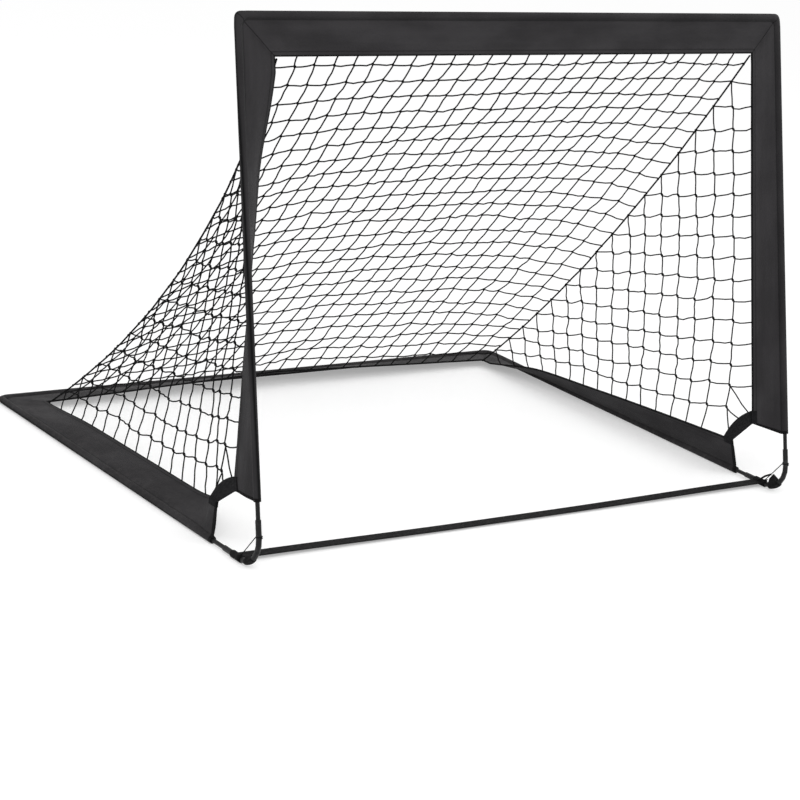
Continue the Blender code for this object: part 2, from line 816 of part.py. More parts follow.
def make_bodies():
    """Make the empties of the moving bodies, each on the axis that it turns about."""
    hinge = crossbar_point(0.0) + ARCH_BACK * (TUNNEL_RADIUS + HINGE_GAP)
    left_end = new_empty("left_end", post_point(-1, 0.0), POST_DIRECTION)
    left_arch = new_empty("left_arch_half", post_point(-1, POST_PART), POST_DIRECTION, left_end)
    right_arch = new_empty("right_arch_half", hinge, POST_DIRECTION, left_arch)
    right_end = new_empty("right_end", post_point(1, POST_PART), POST_DIRECTION, right_arch)
    left_base = new_empty("left_base_half", side_point(-1, SIDE_PART), BACK, left_end)
    right_base = new_empty("right_base_half", side_point(1, SIDE_PART), BACK, right_end)
    return {
        "left": {"end": left_end, "arch": left_arch, "base": left_base},
        "right": {"end": right_end, "arch": right_arch, "base": right_base},
    }


def main():
    """Build the goal."""
    bodies = make_bodies()
    for label, side in SIDES.items():
        make_elbows(label, side, bodies[label])
        make_rods(label, side, bodies[label])
        make_ferrules(label, side, bodies[label])
        make_sleeves(label, side, bodies[label])
        make_corner_web(label, side, bodies[label])
        make_tie_cord(label, side, bodies[label])
        make_strap_loop(label, side, bodies[label])
        make_edge_cord(label, side, bodies[label])
        make_side_net(label, side, bodies[label])
    make_roof_net(bodies["left"]["end"])
    make_ground_strap(bodies["left"]["end"])


clear_scene()
GOAL_PARTS = new_collection(GOAL)
MATERIALS = {
    "rod_black": new_material("rod_black", (0.020, 0.020, 0.022), 0.35),
    "ferrule_steel": new_material("ferrule_steel", (0.55, 0.56, 0.58), 0.30, 1.0),
    "elbow_black": new_material("elbow_black", (0.022, 0.022, 0.024), 0.40),
    "elbow_steel": new_material("elbow_steel", (0.62, 0.62, 0.64), 0.28, 1.0),
    "sleeve_fabric": new_material("sleeve_fabric", (0.035, 0.035, 0.038), 0.85),
    "webbing": new_material("webbing", (0.015, 0.015, 0.017), 0.80),
    "cord_black": new_material("cord_black", (0.010, 0.010, 0.011), 0.75),
    "net_cord": new_material("net_cord", (0.012, 0.012, 0.013), 0.80),
}
main()
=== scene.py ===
"""Dress the folding soccer goal: woven sleeves, webbing, knotted nets, cords and tubes, in a pale studio.

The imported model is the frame. Its rods, ferrules and bent tubes stay and get finishes, and every soft solid is
replaced by a piece that is made here in mesh code. Metres, +Z up, and +Y runs into the goal. Side -1 is the left.
"""

import logging
import math
from dataclasses import dataclass, field, replace
from enum import Enum
from typing import Callable, ClassVar, Optional, Sequence, Union

import bmesh
import bpy
from mathutils import Matrix, Vector, noise


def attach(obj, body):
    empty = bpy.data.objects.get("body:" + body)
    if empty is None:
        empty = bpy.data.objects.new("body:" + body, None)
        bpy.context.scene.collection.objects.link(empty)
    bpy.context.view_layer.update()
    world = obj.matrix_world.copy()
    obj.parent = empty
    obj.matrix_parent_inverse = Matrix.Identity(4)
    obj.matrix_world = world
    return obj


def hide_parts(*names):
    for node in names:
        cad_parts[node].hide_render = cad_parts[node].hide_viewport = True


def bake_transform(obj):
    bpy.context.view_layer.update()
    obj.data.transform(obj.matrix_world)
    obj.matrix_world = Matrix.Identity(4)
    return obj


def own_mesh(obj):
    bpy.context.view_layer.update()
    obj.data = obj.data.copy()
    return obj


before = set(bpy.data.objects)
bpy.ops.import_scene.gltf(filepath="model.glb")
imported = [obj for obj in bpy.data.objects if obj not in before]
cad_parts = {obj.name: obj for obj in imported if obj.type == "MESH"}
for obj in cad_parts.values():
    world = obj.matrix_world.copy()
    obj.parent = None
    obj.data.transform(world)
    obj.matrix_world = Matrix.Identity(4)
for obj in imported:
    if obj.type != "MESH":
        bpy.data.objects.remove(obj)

LOG = logging.getLogger("goal_scene")
NOISE_SEED = 11
RIGHT = Vector((1.0, 0.0, 0.0))
BACK = Vector((0.0, 1.0, 0.0))
UP = Vector((0.0, 0.0, 1.0))
WHITE = (1.0, 1.0, 1.0)
CLOTH_DUST = (0.16, 0.15, 0.14)
TUBE_DUST = (0.20, 0.19, 0.17)
CLOTH_SHARP, BAND_SHARP, CORD_SHARP = 42.0, 60.0, 80.0
CORD_SIDES = 8
STILL = Vector((0.0, 0.0, 0.0))
Piece = bpy.types.Object
Socket = bpy.types.NodeSocket
Feed = Union[Socket, float]
Colour = tuple[float, float, float]
Turns = tuple[tuple[float, float], ...]
SectionPoint = tuple[float, float, float, int]


class Side(Enum):
    """The two sides of the goal, with their sign along X."""

    LEFT = -1
    RIGHT = 1

    @property
    def label(self) -> str:
        """Return the side's word in the names of nodes and bodies."""
        return self.name.lower()


class Effect(Enum):
    """The shared shader effects, each built once as a node group."""

    WEAVE = "woven_threads"
    CLOUDS = "cloudy_variation"
    STITCHES = "stitch_row"
    TWIST = "twisted_strands"
    DUST = "ground_dust"


@dataclass(frozen=True)
class Station:
    """One cross-section of a sleeve.

    Attributes:
        centre: The rod's axis there.
        direction: The rod's direction there.
        edge: The middle of the flap's free edge.
        along: The distance along the sleeve, for the weave.
        proud: How far the cloth stands off outside the bend of a corner.
        seam: 1 on a mitre seam, and 0 elsewhere.
    """

    centre: Vector
    direction: Vector
    edge: Vector
    along: float
    proud: float = 0.0
    seam: float = 0.0


def arch(share: float) -> float:
    """Return the height of an even curve between two ends, from 0 to 1 in the middle."""
    return 4.0 * share * (1.0 - share)


def facing(direction: Vector, guide: Vector) -> Vector:
    """Return a direction, turned over where it points against a guide."""
    return -direction if direction.dot(guide) < 0 else direction


def steps(start: float, end: float, spacing: float) -> list[float]:
    """Divide a stretch evenly.

    Args:
        start: Where the stretch starts.
        end: Where it ends.
        spacing: The longest step.

    Returns:
        The places from start to end.
    """
    count = max(1, math.ceil(abs(end - start) / spacing))
    return [start + (end - start) * index / count for index in range(count + 1)]


def turned(turns: Turns, share: float) -> float:
    """Return how far a flap has turned, eased over the places where its rate changes.

    Args:
        turns: Pairs of a share of the way and an angle in degrees.
        share: The share of the way.

    Returns:
        The angle in radians.
    """
    total = 0.0
    reach = min(0.05, max(share, 0.0), max(1.0 - share, 0.0))
    offsets = (-1.0, -0.5, 0.0, 0.5, 1.0)
    for offset in offsets:
        near = min(max(share + offset * reach, 0.0), 1.0)
        value = turns[-1][1]
        for (first, low), (second, high) in zip(turns, turns[1:]):
            if near <= second:
                value = low + (high - low) * (near - first) / (second - first)
                break
        total += value
    return math.radians(total / len(offsets))


@dataclass(frozen=True)
class GoalPlan:
    """The goal's sizes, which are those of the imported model, and the lines that its pieces follow."""

    width: float = 1.200
    post_length: float = 0.914
    post_lean: float = math.radians(14.0)
    depth: float = 0.955
    tunnel: float = 0.0068
    sleeve_width: float = 0.075
    tube_radius: float = 0.0050
    bend_radius: float = 0.018
    front_bend: float = 0.0425
    post_start: float = 0.115
    post_part: float = 0.460
    side_start: float = 0.150
    side_part: float = 0.500
    web_width: float = 0.025
    web_bulge: float = 0.008
    web_lap: float = 0.001
    strap_start: float = 0.0615
    strap_width: float = 0.025
    strap_play: float = 0.0003
    edge_sag: float = 0.056
    edge_pull: float = 0.034
    edge_inset: float = 0.0026
    roof_crown: float = 0.050
    fold_keep: float = 0.1737
    post_slant: dict[int, float] = field(default_factory=lambda: {-1: 0.012, 1: 0.024})
    side_lead: dict[int, float] = field(default_factory=lambda: {-1: 0.0, 1: 0.010})
    rear_rise: float = math.radians(6.5)
    back_rise: float = math.radians(21.0)
    post_turns: dict[int, Turns] = field(default_factory=lambda: {
        -1: ((0.0, 0.0), (0.8, 56.0), (1.0, 90.0)),
        1: ((0.0, 71.0), (1.0, 90.0)),
    })
    side_turns: dict[int, Turns] = field(default_factory=lambda: {
        -1: ((0.0, 2.0), (0.06, 48.0), (0.15, 66.0), (0.8, 74.0), (1.0, 83.5)),
        1: ((0.0, 20.0), (0.8, 56.0), (1.0, 83.5)),
    })

    @property
    def axis_x(self) -> float:
        """Return how far the posts' axes lie from the middle."""
        return self.width / 2 - self.tunnel

    @property
    def foot_y(self) -> float:
        """Return where the front corners lie along Y."""
        return -self.strap_start - self.strap_width / 2

    @property
    def reach(self) -> float:
        """Return the distance from a rod's axis to its flap's free edge."""
        return self.sleeve_width - self.tunnel

    @property
    def rear(self) -> float:
        """Return the depth of the back bar's axis."""
        return self.depth - self.tunnel

    @property
    def top(self) -> float:
        """Return the distance up a post of the crossbar's axis."""
        return self.post_length - 2 * self.tunnel

    @property
    def post_direction(self) -> Vector:
        """Return the direction of both posts, upwards."""
        return Vector((0.0, math.sin(self.post_lean), math.cos(self.post_lean)))

    @property
    def arch_back(self) -> Vector:
        """Return the direction square to the front arch, backwards."""
        return Vector((0.0, math.cos(self.post_lean), -math.sin(self.post_lean)))

    def post(self, side: int, distance: float) -> Vector:
        """Return the point on a post's axis at a distance from its foot."""
        return Vector((side * self.axis_x, self.foot_y, self.tunnel)) + self.post_direction * distance

    def bar(self, side: int, depth: float) -> Vector:
        """Return the point on a side bar's axis at a depth."""
        return Vector((side * self.axis_x, self.foot_y + depth, self.tunnel))

    def crossbar(self, x: float) -> Vector:
        """Return the point on the crossbar's axis at a place along the goal."""
        return Vector((x, self.foot_y, self.tunnel)) + self.post_direction * self.top

    def back_bar(self, x: float) -> Vector:
        """Return the point on the back bar's axis at a place along the goal."""
        return Vector((x, self.foot_y + self.rear, self.tunnel))

    def post_flap(self, side: int, distance: float) -> Vector:
        """Return the direction of a post's flap at a distance from its foot."""
        start = self.post_start + self.web_width
        end = self.top - self.reach - self.web_width
        angle = turned(self.post_turns[side], (distance - start) / (end - start))
        return self.arch_back * math.cos(angle) - RIGHT * side * math.sin(angle)

    def bar_flap(self, side: int, depth: float) -> Vector:
        """Return the direction of a side bar's flap at a depth."""
        start = self.side_start + self.web_width
        end = self.rear - self.reach - self.web_width
        angle = turned(self.side_turns[side], (depth - start) / (end - start))
        return UP * math.cos(angle) - RIGHT * side * math.sin(angle)

    def back_flap(self, x: float) -> Vector:
        """Return the direction of the back bar's flap."""
        share = min(abs(x) / (self.axis_x - self.reach), 1.0)
        angle = self.back_rise - (self.back_rise - self.rear_rise) * share
        return UP * math.sin(angle) - BACK * math.cos(angle)

    def post_edge(self, side: int, distance: float) -> Vector:
        """Return the point on the free edge of a post's flap."""
        return self.post(side, distance) + self.post_flap(side, distance) * self.reach

    def bar_edge(self, side: int, depth: float) -> Vector:
        """Return the point on the free edge of a side bar's flap."""
        return self.bar(side, depth) + self.bar_flap(side, depth) * self.reach

    def crossbar_edge(self, x: float) -> Vector:
        """Return the point on the free edge of the crossbar's flap."""
        return self.crossbar(x) - self.post_direction * self.reach

    def back_edge(self, x: float) -> Vector:
        """Return the point on the free edge of the back bar's flap."""
        return self.back_bar(x) + self.back_flap(x) * self.reach

    def top_mitre(self, side: int) -> Vector:
        """Return the inner corner between a post's flap and the crossbar's flap."""
        return self.crossbar_edge(side * (self.axis_x - self.reach))

    def rear_mitre(self, side: int) -> Vector:
        """Return the inner corner between a side bar's flap and the back bar's flap."""
        return self.bar(side, self.rear - self.reach) + self.bar_flap(side, self.rear) * self.reach

    def web_corners(self, side: int) -> tuple[Vector, Vector, Vector, Vector]:
        """Return the corners of a corner web: post end and side end of its lower edge, then of its upper edge."""
        low = self.post_edge(side, self.post_start)
        low = low + self.post_direction * (self.post_slant[side] - self.web_lap)
        front = self.bar_edge(side, self.side_start - self.side_lead[side])
        return low, front, low + self.post_direction * self.web_width, front + BACK * self.web_width

    def web_outer(self, side: int, share: float) -> Vector:
        """Return a point of a corner web's curved upper edge, at a share of the way from the post."""
        high, rear = self.web_corners(side)[2:]
        out = self.post_direction + BACK
        chord = (rear - high).normalized()
        out = (out - chord * out.dot(chord)).normalized()
        return high.lerp(rear, share) + out * self.web_bulge * arch(share)

    def front_arc(self, side: int, angle: float) -> tuple[Vector, Vector]:
        """Return a point of a front bend's axis, and the direction from it to the bend's centre.

        Args:
            side: The side's sign.
            angle: The angle round the bend, in radians, from the side bar's end.

        Returns:
            The point and the direction.
        """
        half_turn = (math.pi / 2 + self.post_lean) / 2
        centre = self.bar(side, self.front_bend * math.tan(half_turn)) + UP * self.front_bend
        inwards = BACK * math.sin(angle) + UP * math.cos(angle)
        return centre - inwards * self.front_bend, inwards

    def edge_line(self, side: int, share: float) -> Vector:
        """Return a point of the sagging line between a side net and the back net, from top to rear.

        Args:
            side: The side's sign.
            share: The share of the way down.

        Returns:
            The point.
        """
        top = self.top_mitre(side) - (RIGHT * side + self.post_direction) * self.edge_inset
        rear = self.rear_mitre(side) - (RIGHT * side + BACK) * self.edge_inset
        sag = facing((rear - top).normalized().cross(RIGHT).normalized(), -UP)
        return top.lerp(rear, share) + (sag * self.edge_sag - RIGHT * side * self.edge_pull) * arch(share)

    def roof_point(self, across: float, down: float) -> Vector:
        """Return a point of the back net's surface.

        Args:
            across: The share of the way from the left edge line to the right one.
            down: The share of the way from the crossbar to the back bar.

        Returns:
            The point.
        """
        def between_lines(share: float) -> Vector:
            return self.edge_line(-1, share).lerp(self.edge_line(1, share), across)

        top = self.crossbar_edge(self.edge_line(1, 0.0).x * (2 * across - 1))
        rear = self.back_edge(self.edge_line(1, 1.0).x * (2 * across - 1))
        point = between_lines(down) + top.lerp(rear, down) - between_lines(0.0).lerp(between_lines(1.0), down)
        crown = facing(RIGHT.cross((self.back_edge(0.0) - self.crossbar_edge(0.0)).normalized()), UP)
        return point + crown * self.roof_crown * (1.0 - (2.0 * across - 1.0) ** 4) * arch(down)


@dataclass
class MeshSketch:
    """A mesh in the making: points, faces, a finish slot for each face, and cloth coordinates in metres."""

    KNOT_SIDES: ClassVar[int] = 6
    KNOT_LEVELS: ClassVar[tuple[float, ...]] = (-0.75, -0.25, 0.4, 0.8)
    KNOT_LUMPS: ClassVar[float] = 0.28
    KNOT_WIDTH: ClassVar[float] = 0.9
    KNOT_HEIGHT: ClassVar[float] = 0.8

    points: list[Vector] = field(default_factory=list)
    faces: list[tuple[int, ...]] = field(default_factory=list)
    slots: list[int] = field(default_factory=list)
    cloth: list[list[tuple[float, float]]] = field(default_factory=list)

    def face(self, corners: tuple[int, ...], slot: int, cloth: list[tuple[float, float]]) -> None:
        """Add one face with its slot and cloth coordinates.

        Args:
            corners: Its points.
            slot: Its finish slot.
            cloth: The cloth coordinates of its corners.
        """
        self.faces.append(corners)
        self.slots.append(slot)
        self.cloth.append(cloth)

    def loft(
        self,
        rings: Sequence[Sequence[Vector]],
        along: Sequence[float],
        across: Sequence[float],
        slot_of: Callable[[int, int], int] = lambda ring, step: 0,
    ) -> None:
        """Add a closed skin through closed rings, with flat ends.

        Args:
            rings: The rings, each with the same number of points.
            along: The cloth coordinate of each ring.
            across: The cloth coordinate of each point of a ring.
            slot_of: Gives the finish slot of the face after a ring and a point.
        """
        base = len(self.points)
        count = len(rings[0])
        for ring in rings:
            self.points.extend(ring)
        for index in range(len(rings) - 1):
            near = base + index * count
            far = near + count
            for step in range(count):
                after = (step + 1) % count
                self.face(
                    (near + step, near + after, far + after, far + step),
                    slot_of(index, step),
                    [(along[index], across[step]), (along[index], across[after]),
                     (along[index + 1], across[after]), (along[index + 1], across[step])],
                )
        for index in (0, len(rings) - 1):
            corners = tuple(range(base + index * count, base + (index + 1) * count))
            self.face(corners, slot_of(index, 0), [(along[index], value) for value in across])

    def tube(self, path: Sequence[Vector], radius: float, sides: int) -> None:
        """Add a round cord along a path.

        Args:
            path: The points that it follows.
            radius: Its radius.
            sides: The sides of its section.
        """
        rings = []
        along = []
        length = 0.0
        spoke = None
        for index, point in enumerate(path):
            before = path[max(index - 1, 0)]
            after = path[min(index + 1, len(path) - 1)]
            direction = (after - before).normalized()
            if spoke is None:
                spoke = direction.orthogonal().normalized()
            spoke = (spoke - direction * spoke.dot(direction)).normalized()
            other = direction.cross(spoke)
            length += (point - before).length
            along.append(length)
            ring = []
            for step in range(sides):
                angle = 2 * math.pi * step / sides
                ring.append(point + (spoke * math.cos(angle) + other * math.sin(angle)) * radius)
            rings.append(ring)
        self.loft(rings, along, [2 * math.pi * radius * step / sides for step in range(sides)])

    def knot(
        self, centre: Vector, first: Vector, second: Vector, size: float, seed: float, stretch: float = 1.0,
    ) -> None:
        """Add a pulled-tight knot: a lumpy bead, wider along the two cords that cross in it.

        Args:
            centre: The middle of the knot.
            first: The direction of one cord.
            second: The direction of the other cord.
            size: The knot's radius.
            seed: Tells its lumps from those of other knots.
            stretch: How much longer it is along the first direction.
        """
        across = (second - first * second.dot(first)).normalized()
        normal = first.cross(across)
        rings = []
        for level in self.KNOT_LEVELS:
            wide = math.sqrt(1.0 - level * level)
            ring = []
            for step in range(self.KNOT_SIDES):
                angle = 2 * math.pi * step / self.KNOT_SIDES + level
                place = Vector((seed, 2.0 * math.cos(angle), 2.0 * math.sin(angle) + level))
                lump = 1.0 + self.KNOT_LUMPS * noise.noise(place)
                spoke = first * math.cos(angle) * stretch + across * math.sin(angle) * self.KNOT_WIDTH
                lift = normal * size * self.KNOT_HEIGHT * level
                ring.append(centre + spoke * size * wide * lump + lift)
            rings.append(ring)
        along = [size * step for step in range(len(rings))]
        self.loft(rings, along, [size * step for step in range(self.KNOT_SIDES)])

    def build(self, name: str, finishes: Sequence[bpy.types.Material], sharp: float) -> Piece:
        """Turn the sketch into an object.

        Args:
            name: The object's name.
            finishes: The materials of the slots.
            sharp: The angle from which an edge stays sharp, in degrees.

        Returns:
            The object, linked to the scene.
        """
        mesh = bpy.data.meshes.new(name)
        mesh.from_pydata([tuple(point) for point in self.points], [], self.faces)
        values = [number for corners in self.cloth for pair in corners for number in pair]
        mesh.uv_layers.new(name="cloth").data.foreach_set("uv", values)
        mesh.polygons.foreach_set("material_index", self.slots)
        for finish in finishes:
            mesh.materials.append(finish)
        builder = bmesh.new()
        builder.from_mesh(mesh)
        bmesh.ops.recalc_face_normals(builder, faces=builder.faces)
        builder.to_mesh(mesh)
        builder.free()
        mesh.shade_smooth()
        mesh.set_sharp_from_angle(angle=math.radians(sharp))
        made = bpy.data.objects.new(name, mesh)
        bpy.context.scene.collection.objects.link(made)
        return made


class NodeSheet:
    """Adds and joins nodes in one node tree."""

    def __init__(self, tree: bpy.types.NodeTree) -> None:
        """Keep the tree."""
        self.tree = tree

    def add(self, kind: str, **settings: object) -> bpy.types.Node:
        """Add a node.

        Args:
            kind: The node's type.
            settings: Attributes to set on it.

        Returns:
            The node.
        """
        made = self.tree.nodes.new(kind)
        for name, value in settings.items():
            setattr(made, name, value)
        return made

    def feed(self, source: Optional[Union[Feed, Colour]], target: Socket) -> None:
        """Link a socket to a target, or set the target's own value.

        Args:
            source: A socket, a number or a colour. Nothing is done where it is None.
            target: The socket that takes it.
        """
        if isinstance(source, bpy.types.NodeSocket):
            self.tree.links.new(source, target)
        elif isinstance(source, tuple):
            target.default_value = (*source, 1.0)
        elif source is not None:
            target.default_value = source

    def math(self, operation: str, first: Feed, second: Optional[Feed] = None, clamp: bool = False) -> Socket:
        """Return the result of a sum.

        Args:
            operation: The Math node's operation.
            first: The first value.
            second: The second value.
            clamp: Whether the result stays between 0 and 1.

        Returns:
            The result's socket.
        """
        made = self.add("ShaderNodeMath", operation=operation, use_clamp=clamp)
        self.feed(first, made.inputs[0])
        self.feed(second, made.inputs[1])
        return made.outputs[0]

    def plus(self, first: Feed, second: Feed, clamp: bool = False) -> Socket:
        """Return the sum of two values."""
        return self.math("ADD", first, second, clamp)

    def minus(self, first: Feed, second: Feed, clamp: bool = False) -> Socket:
        """Return the first value less the second."""
        return self.math("SUBTRACT", first, second, clamp)

    def times(self, first: Feed, second: Feed) -> Socket:
        """Return the product of two values."""
        return self.math("MULTIPLY", first, second)

    def over(self, first: Feed, second: Feed) -> Socket:
        """Return the first value divided by the second."""
        return self.math("DIVIDE", first, second)

    def wave(self, value: Feed) -> Socket:
        """Return a row of round crowns, one for each whole step of a value."""
        return self.math("ABSOLUTE", self.math("SINE", self.times(value, math.pi)))

    def between(
        self, value: Feed, low: float, high: float, to_low: float = 0.0, to_high: float = 1.0,
    ) -> Socket:
        """Map a value from one stretch to another, smoothly and clamped.

        Args:
            value: The value.
            low: The start of the stretch that it comes from.
            high: The end of that stretch.
            to_low: The result at low.
            to_high: The result at high.

        Returns:
            The result's socket.
        """
        made = self.add("ShaderNodeMapRange", interpolation_type="SMOOTHSTEP")
        for index, number in enumerate((value, low, high, to_low, to_high)):
            self.feed(number, made.inputs[index])
        return made.outputs[0]

    def mix(self, share: Feed, first: Union[Socket, Colour], second: Union[Socket, Colour]) -> Socket:
        """Return a mix of two colours.

        Args:
            share: How much of the second there is.
            first: The first colour.
            second: The second colour.

        Returns:
            The mixed colour's socket.
        """
        made = self.add("ShaderNodeMix", data_type="RGBA")
        self.feed(share, made.inputs[0])
        self.feed(first, made.inputs[6])
        self.feed(second, made.inputs[7])
        return made.outputs[2]

    def split(self, place: Socket) -> bpy.types.NodeOutputs:
        """Return the three parts of a place.

        Args:
            place: The place.

        Returns:
            The sockets of its parts.
        """
        made = self.add("ShaderNodeSeparateXYZ")
        self.feed(place, made.inputs[0])
        return made.outputs

    def cloud(self, place: Socket, scale: Feed, detail: float) -> Socket:
        """Return a soft noise.

        Args:
            place: Where it is read.
            scale: Its scale.
            detail: How many finer layers it has.

        Returns:
            The noise's socket.
        """
        made = self.add("ShaderNodeTexNoise")
        self.feed(place, made.inputs["Vector"])
        self.feed(scale, made.inputs["Scale"])
        self.feed(detail, made.inputs["Detail"])
        return made.outputs[0]

    def effect(self, group: bpy.types.NodeTree, **values: Feed) -> bpy.types.NodeOutputs:
        """Place a shared effect.

        Args:
            group: The effect's node group.
            values: What its inputs take, by their names in small letters.

        Returns:
            The group's outputs.
        """
        made = self.add("ShaderNodeGroup", node_tree=group)
        for name, value in values.items():
            self.feed(value, made.inputs[name.capitalize()])
        return made.outputs

    def seen_directly(self) -> Socket:
        """Return 1 for rays that show a surface as it is: from the camera, a mirror or a clear body."""
        rays = self.add("ShaderNodeLightPath").outputs
        direct = self.math("MAXIMUM", rays["Is Camera Ray"], rays["Is Glossy Ray"])
        return self.math("MAXIMUM", direct, rays["Is Transmission Ray"])


class EffectLibrary:
    """Builds each shared effect once, as a node group that puts out masks and heights."""

    def __init__(self) -> None:
        """Build the effects."""
        self.groups: dict[Effect, bpy.types.NodeTree] = {}
        for build in (self._weave, self._clouds, self._stitches, self._twist, self._dust):
            build()

    def __getitem__(self, effect: Effect) -> bpy.types.NodeTree:
        """Return an effect's node group."""
        return self.groups[effect]

    def _start(
        self, effect: Effect, inputs: dict[str, Optional[float]], outputs: Sequence[str],
    ) -> tuple[NodeSheet, bpy.types.NodeOutputs, bpy.types.NodeInputs]:
        """Start a node group.

        Args:
            effect: Which effect it is.
            inputs: Its inputs with their usual values, where None is a vector.
            outputs: Its outputs, all of them values.

        Returns:
            The sheet, what the group is given and what it puts out.
        """
        tree = bpy.data.node_groups.new(effect.value, "ShaderNodeTree")
        for name, value in inputs.items():
            kind = "NodeSocketVector" if value is None else "NodeSocketFloat"
            made = tree.interface.new_socket(name=name, in_out="INPUT", socket_type=kind)
            if value is not None:
                made.default_value = value
        for name in outputs:
            tree.interface.new_socket(name=name, in_out="OUTPUT", socket_type="NodeSocketFloat")
        sheet = NodeSheet(tree)
        self.groups[effect] = tree
        return sheet, sheet.add("NodeGroupInput").outputs, sheet.add("NodeGroupOutput").inputs

    def _weave(self) -> None:
        """Build a plain weave: threads that pass over and under each other by turns."""
        inputs = {"Place": None, "Along": 0.0006, "Across": 0.0006}
        sheet, given, out = self._start(Effect.WEAVE, inputs, ("Height", "Lit"))
        parts = sheet.split(given["Place"])
        first = sheet.over(parts[0], given["Along"])
        second = sheet.over(parts[1], given["Across"])
        cells = sheet.plus(sheet.math("FLOOR", first), sheet.math("FLOOR", second))
        above = sheet.math("PINGPONG", cells, 1.0)
        under = sheet.minus(1.0, above)
        height = sheet.plus(sheet.times(sheet.wave(first), above), sheet.times(sheet.wave(second), under))
        sheet.feed(height, out["Height"])
        # Lit marks the crowns of the threads, which materials lighten as a painted highlight.
        sheet.feed(sheet.between(height, 0.1, 0.9), out["Lit"])

    def _clouds(self) -> None:
        """Build soft uneven patches and streaks."""
        inputs = {"Place": None, "Size": 0.08, "Stretch": 1.0}
        sheet, given, out = self._start(Effect.CLOUDS, inputs, ("Broad", "Fine"))
        factors = sheet.add("ShaderNodeCombineXYZ")
        for index, factor in enumerate((given["Stretch"], 1.0, 1.0)):
            sheet.feed(factor, factors.inputs[index])
        scaled = sheet.add("ShaderNodeVectorMath", operation="MULTIPLY")
        sheet.feed(given["Place"], scaled.inputs[0])
        sheet.feed(factors.outputs[0], scaled.inputs[1])
        frequency = sheet.over(1.0, given["Size"])
        for name, times, detail in (("Broad", 1.0, 3.0), ("Fine", 9.0, 2.0)):
            cloud = sheet.cloud(scaled.outputs[0], sheet.times(frequency, times), detail)
            sheet.feed(sheet.between(cloud, 0.3, 0.7), out[name])

    def _stitches(self) -> None:
        """Build a row of stitches along a line of the cloth, with the dimple that it pulls in."""
        inputs = {"Place": None, "Row": 0.0, "Pitch": 0.0035, "Width": 0.0004}
        sheet, given, out = self._start(Effect.STITCHES, inputs, ("Thread", "Dimple"))
        parts = sheet.split(given["Place"])
        off = sheet.math("ABSOLUTE", sheet.minus(parts[1], given["Row"]))
        beat = sheet.math("FRACT", sheet.over(parts[0], given["Pitch"]))
        dash = sheet.between(sheet.math("PINGPONG", sheet.minus(beat, 0.5), 0.5), 0.28, 0.40, 1.0, 0.0)
        near = sheet.over(off, given["Width"])
        sheet.feed(sheet.times(sheet.between(near, 0.7, 1.2, 1.0, 0.0), dash), out["Thread"])
        sheet.feed(sheet.between(near, 0.0, 5.0, 1.0, 0.0), out["Dimple"])

    def _twist(self) -> None:
        """Build the strands of a laid cord, which wind round it."""
        inputs = {"Place": None, "Pitch": 0.004, "Girth": 0.006, "Strands": 2.0}
        sheet, given, out = self._start(Effect.TWIST, inputs, ("Height", "Groove"))
        parts = sheet.split(given["Place"])
        run = sheet.over(parts[0], given["Pitch"])
        turn = sheet.times(sheet.over(parts[1], given["Girth"]), given["Strands"])
        crowns = sheet.wave(sheet.plus(run, turn))
        sheet.feed(crowns, out["Height"])
        sheet.feed(sheet.between(crowns, 0.0, 0.45, 1.0, 0.0), out["Groove"])

    def _dust(self) -> None:
        """Build the pale dust that gathers near the ground."""
        sheet, given, out = self._start(Effect.DUST, {"Height": 0.05, "Size": 0.02}, ("Mask",))
        place = sheet.add("ShaderNodeTexCoord").outputs["Object"]
        low = sheet.minus(1.0, sheet.over(sheet.split(place)[2], given["Height"]), clamp=True)
        speckle = sheet.cloud(place, sheet.over(1.0, given["Size"]), 5.0)
        sheet.feed(sheet.times(low, sheet.between(speckle, 0.45, 0.72)), out["Mask"])


class Coat:
    """One material in the making: its nodes, its surface shader, and the place that its effects read."""

    def __init__(self, name: str, effects: EffectLibrary, space: str) -> None:
        """Start the material.

        Args:
            name: Its name.
            effects: The shared effects.
            space: The texture coordinate that its effects read.
        """
        self.effects = effects
        self.made = bpy.data.materials.new(name)
        self.made.use_nodes = True
        self.sheet = NodeSheet(self.made.node_tree)
        self.surface = self.made.node_tree.nodes["Principled BSDF"].inputs
        self.place = self.sheet.add("ShaderNodeTexCoord").outputs[space]

    def effect(self, effect: Effect, **values: Feed) -> bpy.types.NodeOutputs:
        """Place a shared effect that reads the coat's own place."""
        return self.sheet.effect(self.effects[effect], place=self.place, **values)

    def dusted(self, colour: Socket, height: float, size: float, share: float, dust: Colour) -> Socket:
        """Lay ground dust over a colour.

        Args:
            colour: The colour.
            height: How high the dust reaches.
            size: The size of its patches.
            share: How much of it there is at most.
            dust: Its own colour.

        Returns:
            The dusty colour.
        """
        mask = self.sheet.effect(self.effects[Effect.DUST], height=height, size=size)["Mask"]
        return self.sheet.mix(self.sheet.times(mask, share), colour, dust)

    def close(
        self, colour: Socket, rough: Feed, shine: float, relief: Optional[Socket] = None, depth: float = 0.0,
    ) -> None:
        """Give the surface shader what the sheet has made.

        Args:
            colour: The colour.
            rough: The roughness.
            shine: The level of its specular reflection.
            relief: The relief, from 0 to 1.
            depth: The relief's depth in metres.
        """
        self.sheet.feed(colour, self.surface["Base Color"])
        self.sheet.feed(rough, self.surface["Roughness"])
        self.sheet.feed(shine, self.surface["Specular IOR Level"])
        if relief is not None:
            bump = self.sheet.add("ShaderNodeBump")
            self.sheet.feed(1.0, bump.inputs["Strength"])
            self.sheet.feed(depth, bump.inputs["Distance"])
            self.sheet.feed(relief, bump.inputs["Height"])
            self.sheet.feed(bump.outputs[0], self.surface["Normal"])


